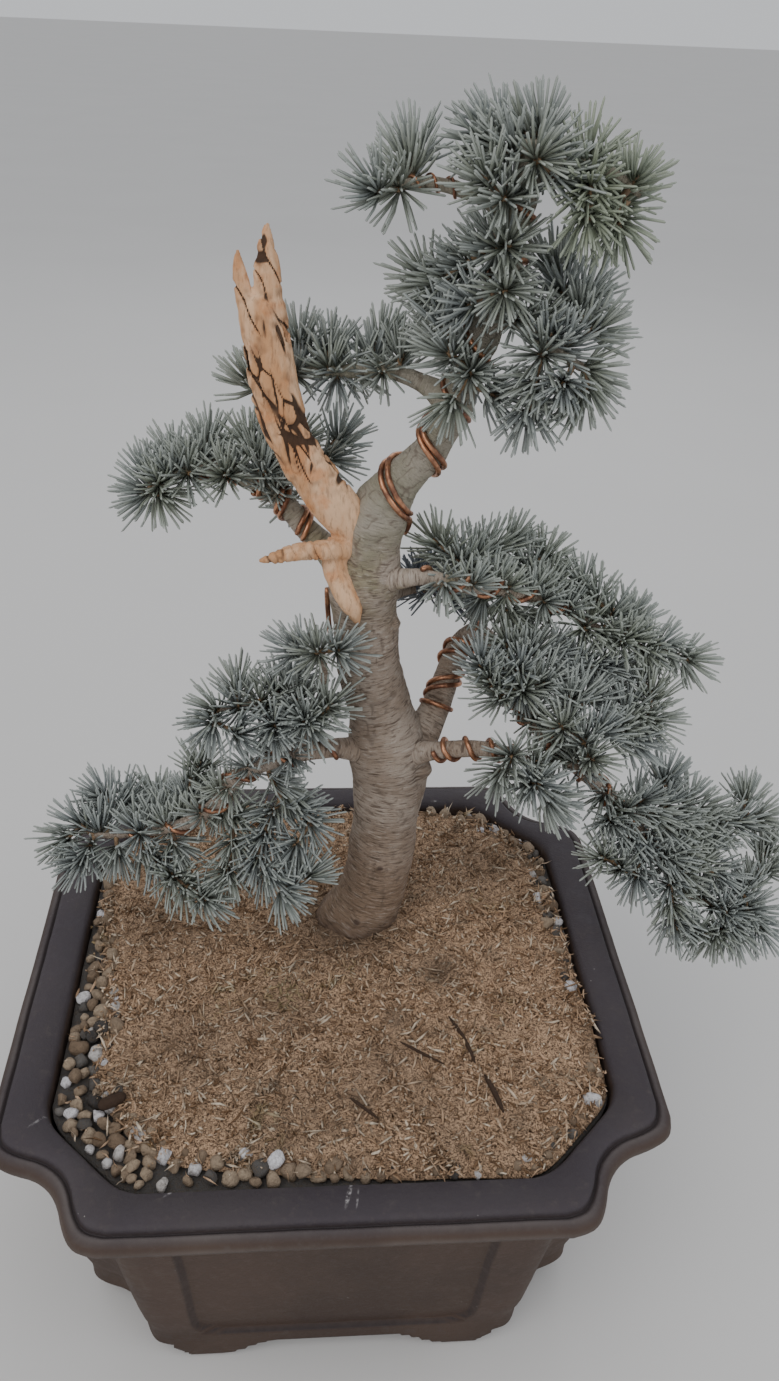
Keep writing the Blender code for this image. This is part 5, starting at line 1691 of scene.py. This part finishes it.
def cluster_needles(spot, axis, size, count, rng):
    """Bases, directions, bends and lengths of the needles of one cluster: a wide fan round its axis."""
    across = unit(np.cross(axis, (0.13, 0.31, 0.94)))
    out = np.cross(axis, across)
    order = np.arange(count)
    widest = rng.uniform(NEEDLE_WIDEST, NEEDLE_NARROWEST)
    lift = NEEDLE_TIGHT + (widest - NEEDLE_TIGHT) * (order + 0.5) / count
    lift = lift + rng.normal(0, NEEDLE_LIFT_STRAY, count)
    turn = order * GOLDEN_TURN + rng.normal(0, NEEDLE_TURN_STRAY, count)
    aside = across[None] * np.cos(turn)[:, None] + out[None] * np.sin(turn)[:, None]
    flat = np.sqrt(np.maximum(0.0, 1 - lift**2))
    ahead = unit(axis[None] * lift[:, None] + aside * flat[:, None])
    bends = axis[None] * NEEDLE_CURL + rng.normal(0, NEEDLE_STRAY, (count, 3))
    shorter = 1 - NEEDLE_INNER_SHORT * smooth_step(0.6, 1.0, lift)
    lengths = size * NEEDLE_LENGTH * rng.uniform(*NEEDLE_LENGTHS, count) * shorter
    bases = spot + ahead * NEEDLE_OUT - axis * (rng.uniform(*NEEDLE_BACK) * (1 - lift))[:, None]
    return bases, ahead, bends, lengths


def make_foliage(name, wood, tips, material, seed):
    """One pad: its twigs, its buds and all its needles, in one mesh."""
    rng = np.random.default_rng(seed)
    twigs, clusters = shoots_of(wood, tips, rng)
    young = YOUNG_PADS.get(name, 0.0)
    gathered = []
    tones = []
    for spot, axis, size in clusters:
        count = int(NEEDLES_A_CLUSTER * size)
        gathered.append(cluster_needles(spot, axis, size, count, rng))
        tones.append(np.full(count, rng.uniform(0, 1)) + rng.normal(0, TONE_STRAY, count))
    for route in twigs:
        along = lengths_along(route[:, :3])
        count = int(along[-1] / LONE_NEEDLE_STEP)
        place = (np.arange(count) + 0.5) / max(count, 1)
        bases = np.column_stack([np.interp(place * along[-1], along, column) for column in route[:, :3].T])
        direction = unit(route[-1, :3] - route[0, :3])
        ahead = [spur_axis(direction, k * GOLDEN_TURN, LONE_LEAN) for k in range(count)]
        ahead = np.array(ahead).reshape(-1, 3)
        bends = np.tile(direction * LONE_CURL, (count, 1))
        gathered.append((bases, ahead, bends, NEEDLE_LENGTH * rng.uniform(*LONE_LENGTHS, count)))
        tones.append(rng.uniform(0, 1, count))
    bases, ahead, bends, lengths = (np.concatenate(column) for column in zip(*gathered))
    radii = NEEDLE_RADIUS * rng.uniform(*NEEDLE_THICKNESSES, len(bases))
    shape = (NEEDLE_STATIONS, NEEDLE_WIDTHS, BLADE_SIDES)
    points, faces, along, number = blades(bases, ahead, bends, lengths, radii, *shape)
    tone = np.concatenate(tones)[number]
    parts = [(points, faces)]
    woody = [np.zeros(len(points))]
    for route in twigs:
        parts.append(round_tube(route, SHOOT_SIDES))
    for spot, axis, size in clusters:
        rows = [np.append(spot + axis * height * size, radius * size) for height, radius in BUD_PROFILE]
        parts.append(round_tube(np.array(rows), SHOOT_SIDES))
    for part in parts[1:]:
        woody.append(np.ones(len(part[0])))
    extra = sum(len(part[0]) for part in parts[1:])
    points, faces = joined(parts)
    values = {
        "along": np.concatenate([along, np.zeros(extra)]),
        "tone": np.concatenate([tone, np.full(extra, 0.5)]),
        "woody": np.concatenate(woody),
        "young": np.full(len(points), young),
        # Painted shade on the pad behind the trunk.
        "blue": np.full(len(points), SHADED_PADS.get(name, 0.0)),
    }
    add_piece("needles_" + name, points, faces, material, "foliage_" + name, values)


def stoneware_material():
    """Unglazed dark stoneware: cloudy, dusty, with painted highlights along the crests of its edges,
    painted shade in its grooves and down its panels' edges, scratched.
    """
    material, tree = new_material("stoneware_look")
    where = place(tree)
    clouds = grain(tree, where, 14.0, 5.0)
    dust = grain(tree, where, 190.0, 6.0, 0.7)
    height = put(tree, "ShaderNodeSeparateXYZ", Vector=where).outputs["Z"]
    body = mixed(tree, stepped(tree, clouds, 0.35, 0.65), STONE_DARK, STONE_BROWN)
    ledge = mixed(tree, stepped(tree, clouds, 0.35, 0.65), LEDGE_DARK, LEDGE_PALE)
    colour = mixed(tree, stepped(tree, height, RIM_Z - 0.0050, RIM_Z - 0.0015), body, ledge)
    colour = mixed(tree, stepped(tree, dust, 0.50, 0.78, 0.0, 0.45), colour, STONE_DUST)
    # Painted shade in the grooves and down the panels' edges.
    colour = mixed(tree, times(tree, stored(tree, "recess_shade"), 0.75), colour, STONE_RECESS_SHADE)
    # Painted highlight along the crests, broken into cloudy patches.
    edge = times(tree, stored(tree, "crest_highlight"), stepped(tree, clouds, 0.30, 0.70, 0.10, 0.55))
    colour = mixed(tree, edge, colour, STONE_HIGHLIGHT)
    specks = stepped(tree, cells(tree, where, 260.0), 0.03, 0.10, 1.0, 0.0)
    rare = stepped(tree, grain(tree, where, 60.0, 2.0), 0.60, 0.68)
    colour = mixed(tree, times(tree, specks, rare), colour, STONE_SPECK)
    for centre, heading, length, width, strength in SCRATCHES:
        mark = scratch(tree, centre, heading, length, width, strength)
        colour = mixed(tree, mark, colour, SCRATCH_COLOUR)
    sand = grain(tree, where, 900.0, 3.0, 0.6)
    normal = bumped(tree, (clouds, 0.0006), (dust, 0.0005), (sand, 0.00022))
    roughness = stepped(tree, dust, 0.3, 0.7, 0.58, 0.80)
    finish_material(tree, colour, roughness, normal, Specular_IOR_Level=0.35)
    return material


def scratch(tree, centre, heading, length, width, strength):
    """A ragged pale line on the rim: 1 along it and 0 away from it."""
    spot = tuple(-(a + b) for a, b in zip(centre, RIM))
    where = put(tree, "ShaderNodeTexCoord").outputs["Object"]
    moved = put(tree, "ShaderNodeMapping", Vector=where, Location=spot).outputs["Vector"]
    turned = put(tree, "ShaderNodeMapping", Vector=moved, Rotation=(0, 0, -heading)).outputs["Vector"]
    scale = (1 / length, 1 / width, 1 / SCRATCH_DEEP)
    sized = put(tree, "ShaderNodeMapping", Vector=turned, Scale=scale).outputs["Vector"]
    node = put(tree, "ShaderNodeVectorMath", Vector=sized)
    node.operation = "LENGTH"
    inside = stepped(tree, node.outputs["Value"], 0.35, 1.0, strength, 0.0)
    torn = stepped(tree, grain(tree, where, 420.0, 4.0, 0.7), 0.40, 0.62)
    return times(tree, inside, torn)


def mix_material():
    """Akadama, dark grit and white pumice, by the kind that each grain holds."""
    material, tree = new_material("growing_mix_look")
    where = place(tree)
    tone = stored(tree, "tone")
    kind = stored(tree, "kind")
    fine = grain(tree, where, 700.0, 5.0, 0.7)
    akadama = mixed(tree, tone, AKADAMA_DARK, AKADAMA_PALE)
    grit = mixed(tree, tone, GRIT_DARK, GRIT_PALE)
    pumice = mixed(tree, tone, PUMICE_DARK, PUMICE_PALE)
    colour = mixed(tree, stepped(tree, kind, 0.2, 0.3), akadama, grit)
    colour = mixed(tree, stepped(tree, kind, 0.7, 0.8), colour, pumice)
    colour = mixed(tree, stepped(tree, fine, 0.42, 0.70, 0.0, 0.55), colour, GRAIN_SHADE)
    pores = cells(tree, where, 1500.0)
    normal = bumped(tree, (fine, 0.0006), (pores, 0.0003))
    finish_material(tree, colour, 0.92, normal, Specular_IOR_Level=0.2)
    return material


def moss_material():
    """Dry chopped moss: tan and brown flakes, greenish and greyer in patches, on a bed painted dark as the
    shade in the gaps between them.
    """
    material, tree = new_material("moss_look")
    where = place(tree)
    tone = stored(tree, "tone")
    patches = grain(tree, where, 34.0, 4.0, 0.6)
    fine = grain(tree, place(tree, (1.0, 1.0, 0.4)), 800.0, 5.0, 0.75, 1.4)
    flake = mixed(tree, stepped(tree, tone, 0.05, 0.60), MOSS_DARK, MOSS_TAN)
    flake = mixed(tree, stepped(tree, tone, 0.62, 0.98), flake, MOSS_PALE)
    flake = mixed(tree, stepped(tree, patches, 0.54, 0.70, 0.0, 0.55), flake, MOSS_GREY)
    broad = grain(tree, where, 21.0, 3.0)
    flake = mixed(tree, stepped(tree, broad, 0.58, 0.72, 0.0, 0.5), flake, MOSS_GREEN)
    # The bed under the flakes: painted shade in the gaps, broken by tan.
    bed = mixed(tree, stepped(tree, fine, 0.40, 0.60), MOSS_GAP_SHADE, MOSS_TAN)
    kind = stored(tree, "kind")
    colour = mixed(tree, stepped(tree, kind, 0.1, 0.2), bed, flake)
    colour = mixed(tree, times(tree, stored(tree, "shade"), 0.75), colour, MOSS_SHADE)
    colour = mixed(tree, stepped(tree, kind, 0.8, 0.9), colour, TWIG_BROWN)
    normal = bumped(tree, (fine, 0.0011))
    finish_material(tree, colour, 0.95, normal, Specular_IOR_Level=0.15)
    return material


def bark_material():
    """Grey-brown bark with fine wrinkles, warmer at the base and darkened there with painted shade, olive
    near the fork, with painted shade in its creases.
    """
    material, tree = new_material("bark_look")
    where = place(tree)
    height = put(tree, "ShaderNodeSeparateXYZ", Vector=where).outputs["Z"]
    patches = grain(tree, where, 55.0, 5.0, 0.6)
    wraps = {axis: stored(tree, "wrap_" + axis.lower()) for axis in "XYZ"}
    wrap = put(tree, "ShaderNodeCombineXYZ", **wraps).outputs["Vector"]
    across = put(tree, "ShaderNodeMapping", Vector=wrap, Scale=(1.0, 1.0, BARK_SQUEEZE)).outputs["Vector"]
    wrinkles = grain(tree, across, 190.0, 5.0, 0.60, 0.35)
    furrows = grain(tree, across, 75.0, 3.0, 0.5, 0.2)
    specks = grain(tree, where, 900.0, 4.0, 0.7)
    base = mixed(tree, stepped(tree, patches, 0.35, 0.66), BARK_GREY, BARK_BROWN)
    # Painted shade: the lower trunk is warmer and darker, fading out upward.
    low = stepped(tree, height, BARK_SHADED_TOP - 0.05, BARK_SHADED_TOP, 0.85, 0.0)
    base = mixed(tree, low, base, BARK_WARM_SHADED)
    top = stepped(tree, height, BARK_OLIVE_LOW, BARK_OLIVE_LOW + BARK_CHANGE, 0.0, 0.55)
    olive = times(tree, top, stepped(tree, patches, 0.40, 0.62))
    base = mixed(tree, olive, base, BARK_OLIVE)
    leader = (BARK_SMOOTH_LOW, BARK_SMOOTH_LOW + BARK_CHANGE)
    rough = stepped(tree, height, *leader, 1.0, 0.15)
    base = mixed(tree, stepped(tree, height, *leader, 0.0, 0.6), base, BARK_LEADER)
    # Paler on the wrinkles' ridges, and painted shade in the hollows of the wrinkles and furrows.
    for pattern, low, high, start, end, colour in (
        (wrinkles, 0.54, 0.68, 0.0, 0.45, BARK_PALE),
        (wrinkles, 0.34, 0.47, 0.80, 0.0, BARK_CREASE_SHADE),
        (furrows, 0.30, 0.37, 0.80, 0.0, BARK_CREASE_SHADE),
    ):
        share = times(tree, stepped(tree, pattern, low, high, start, end), rough)
        base = mixed(tree, share, base, colour)
    base = mixed(tree, stepped(tree, specks, 0.58, 0.75, 0.0, 0.35), base, BARK_PALE)
    # Painted shade in the creases of the bark's relief.
    base = mixed(tree, stepped(tree, stored(tree, "crease"), 0.45, 0.95, 0.0, 0.55), base, BARK_CREASE_SHADE)
    base = mixed(tree, stepped(tree, stored(tree, "knot"), 0.50, 0.90, 0.0, 0.85), base, BARK_KNOT)
    # Darker just above the ground.
    near_ground = stepped(tree, height, BARK_BASE_TOP - BARK_BASE_HIGH, BARK_BASE_TOP, 0.85, 0.0)
    base = mixed(tree, near_ground, base, BARK_BASE)
    normal = bumped(tree, (furrows, 0.0014), (wrinkles, 0.0012), (patches, 0.0008), (specks, 0.0003))
    finish_material(tree, base, 0.82, normal, Specular_IOR_Level=0.3)
    return material


def deadwood_material():
    """Bleached tan wood, orange in places, painted nearly black with shade in its cracks and channels."""
    material, tree = new_material("deadwood_look")
    lean = place(tree, (1.0, 1.0, 0.22), (0.0, math.radians(-24), 0.0))
    where = place(tree)
    fibres = grain(tree, lean, 620.0, 5.0, 0.65, 0.3)
    streaks = grain(tree, lean, 130.0, 4.0, 0.6)
    patches = grain(tree, where, 85.0, 4.0, 0.6)
    colour = mixed(tree, stepped(tree, streaks, 0.36, 0.64), DEAD_TAN, DEAD_PALE)
    colour = mixed(tree, stepped(tree, patches, 0.50, 0.68, 0.0, 0.7), colour, DEAD_ORANGE)
    colour = mixed(tree, stepped(tree, fibres, 0.34, 0.50, 0.45, 0.0), colour, DEAD_BROWN)
    colour = mixed(tree, times(tree, stored(tree, "pit"), 0.6), colour, DEAD_BROWN)
    # Painted shade in the cracks and channels.
    colour = mixed(tree, stepped(tree, stored(tree, "crack"), 0.25, 0.75, 0.0, 0.92), colour, DEAD_CRACK_SHADE)
    normal = bumped(tree, (fibres, 0.0006), (streaks, 0.0006))
    finish_material(tree, colour, 0.78, normal, Specular_IOR_Level=0.25)
    return material


def needle_material():
    """Waxy glaucous needles: paler at their tips, with painted light at their bases, each cluster its own
    tone, and painted shade on the pad behind the trunk.
    """
    material, tree = new_material("needle_look")
    tone = stored(tree, "tone")
    along = stored(tree, "along")
    where = place(tree)
    bloom = grain(tree, where, 300.0, 3.0)
    colour = mixed(tree, stepped(tree, tone, 0.0, 1.0), NEEDLE_BLUE, NEEDLE_GREEN)
    colour = mixed(tree, stepped(tree, along, 0.45, 1.0, 0.0, 0.65), colour, NEEDLE_PALE)
    # Painted light: paler at the base, against the shade in the heart of the cluster.
    colour = mixed(tree, stepped(tree, along, 0.0, 0.30, 0.55, 0.0), colour, NEEDLE_BASE_LIT)
    colour = mixed(tree, stored(tree, "young"), colour, NEEDLE_YOUNG)
    # Painted shade on the pad behind the trunk.
    colour = mixed(tree, stored(tree, "blue"), colour, NEEDLE_SHADE_BLUE)
    colour = mixed(tree, stepped(tree, bloom, 0.45, 0.70, 0.0, 0.30), colour, NEEDLE_PALE)
    wood = mixed(tree, stepped(tree, bloom, 0.4, 0.6), SHOOT_BROWN, SHOOT_TAN)
    colour = mixed(tree, stored(tree, "woody"), colour, wood)
    normal = bumped(tree, (bloom, 0.0002))
    finish_material(tree, colour, 0.55, normal, Specular_IOR_Level=0.4)
    return material


def copper_material():
    """Annealed copper wire gone brown, bright only in places."""
    material, tree = new_material("copper_look")
    where = place(tree)
    patches = grain(tree, where, 180.0, 4.0, 0.6)
    fine = grain(tree, where, 1100.0, 3.0)
    colour = mixed(tree, stepped(tree, patches, 0.38, 0.64), COPPER_BROWN, COPPER_BRIGHT)
    roughness = stepped(tree, patches, 0.35, 0.65, 0.50, 0.30)
    normal = bumped(tree, (fine, 0.0001), (patches, 0.0002))
    finish_material(tree, colour, roughness, normal, Metallic=0.85)
    return material


def screen_material():
    """Moulded black plastic mesh, dusty with fines from the mix."""
    material, tree = new_material("screen_look")
    where = place(tree)
    dust = grain(tree, where, 420.0, 5.0, 0.7)
    colour = mixed(tree, stepped(tree, dust, 0.45, 0.70, 0.0, 0.5), PLASTIC_BLACK, AKADAMA_DARK)
    normal = bumped(tree, (dust, 0.0003))
    finish_material(tree, colour, stepped(tree, dust, 0.3, 0.7, 0.45, 0.85), normal)
    return material


def add_camera():
    yaw, pitch, roll = CAMERA_YAW, CAMERA_PITCH, CAMERA_ROLL
    ahead = Vector((math.sin(yaw) * math.cos(pitch), math.cos(yaw) * math.cos(pitch), -math.sin(pitch)))
    level = Vector((math.cos(yaw), -math.sin(yaw), 0.0))
    upright = level.cross(ahead)
    right = math.cos(roll) * level + math.sin(roll) * upright
    up = math.cos(roll) * upright - math.sin(roll) * level
    data = bpy.data.cameras.new("camera")
    data.sensor_width = SENSOR
    data.lens = LENS
    camera = bpy.data.objects.new("camera", data)
    place_at = Matrix((right, up, -ahead)).transposed().to_4x4()
    place_at.translation = Vector(CAMERA_AT) + Vector(RIM)
    camera.matrix_world = place_at
    bpy.context.collection.objects.link(camera)
    bpy.context.scene.camera = camera


def add_light(name, at, aim, size, power, colour):
    data = bpy.data.lights.new(name, "AREA")
    data.shape = "DISK"
    data.size = size
    data.energy = power
    data.color = colour
    light = bpy.data.objects.new(name, data)
    light.location = at
    light.rotation_euler = (Vector(aim) - Vector(at)).to_track_quat("-Z", "Y").to_euler()
    bpy.context.collection.objects.link(light)


def add_stage():
    """A pale floor under a pale sky, with wide soft lights."""
    corners = ((-1, -1), (1, -1), (1, 1), (-1, 1))
    points = np.array([(x * FLOOR_HALF, y * FLOOR_HALF, FLOOR_Z) for x, y in corners])
    floor = make_mesh("floor", points, np.array([(0, 1, 2), (0, 2, 3)]), {})
    material, tree = new_material("floor_look")
    cloudy = grain(tree, place(tree), 3.0, 2.0)
    colour = mixed(tree, cloudy, FLOOR_COLOUR, FLOOR_PALE)
    finish_material(tree, colour, 0.9, bumped(tree, (cloudy, 0.0002)))
    floor.data.materials.append(material)
    world = bpy.data.worlds.new("sky")
    world.use_nodes = True
    world.node_tree.nodes["Background"].inputs["Color"].default_value = SKY_COLOUR
    world.node_tree.nodes["Background"].inputs["Strength"].default_value = SKY_POWER
    bpy.context.scene.world = world
    for name, at, size, power, colour in LIGHTS:
        add_light(name, at, LIGHT_AIM, size, power, colour)


def dress_node(frame, name, material):
    """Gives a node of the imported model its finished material."""
    piece = frame["nodes"][name]
    piece.data.materials.clear()
    piece.data.materials.append(material)


def main():
    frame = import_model()
    add_camera()
    add_stage()
    copper = copper_material()
    bark = bark_material()
    needles = needle_material()
    make_pot(stoneware_material())
    make_mix(mix_material())
    make_moss(moss_material())
    make_trunk(bark)
    make_branches(bark)
    make_jin(deadwood_material())
    for name, (wood, radius, *rows) in COILS.items():
        make_coil(name, wood, radius, rows, copper)
    for number, (name, (wood, *rows)) in enumerate(PADS.items()):
        make_foliage(name, wood, pad_tips(rows), needles, FOLIAGE_SEED + number)
    dress_node(frame, "drain_screen", screen_material())
    dress_node(frame, "screen_staple", copper)


SPHERES = {1: sphere(1), 2: sphere(2)}
main()
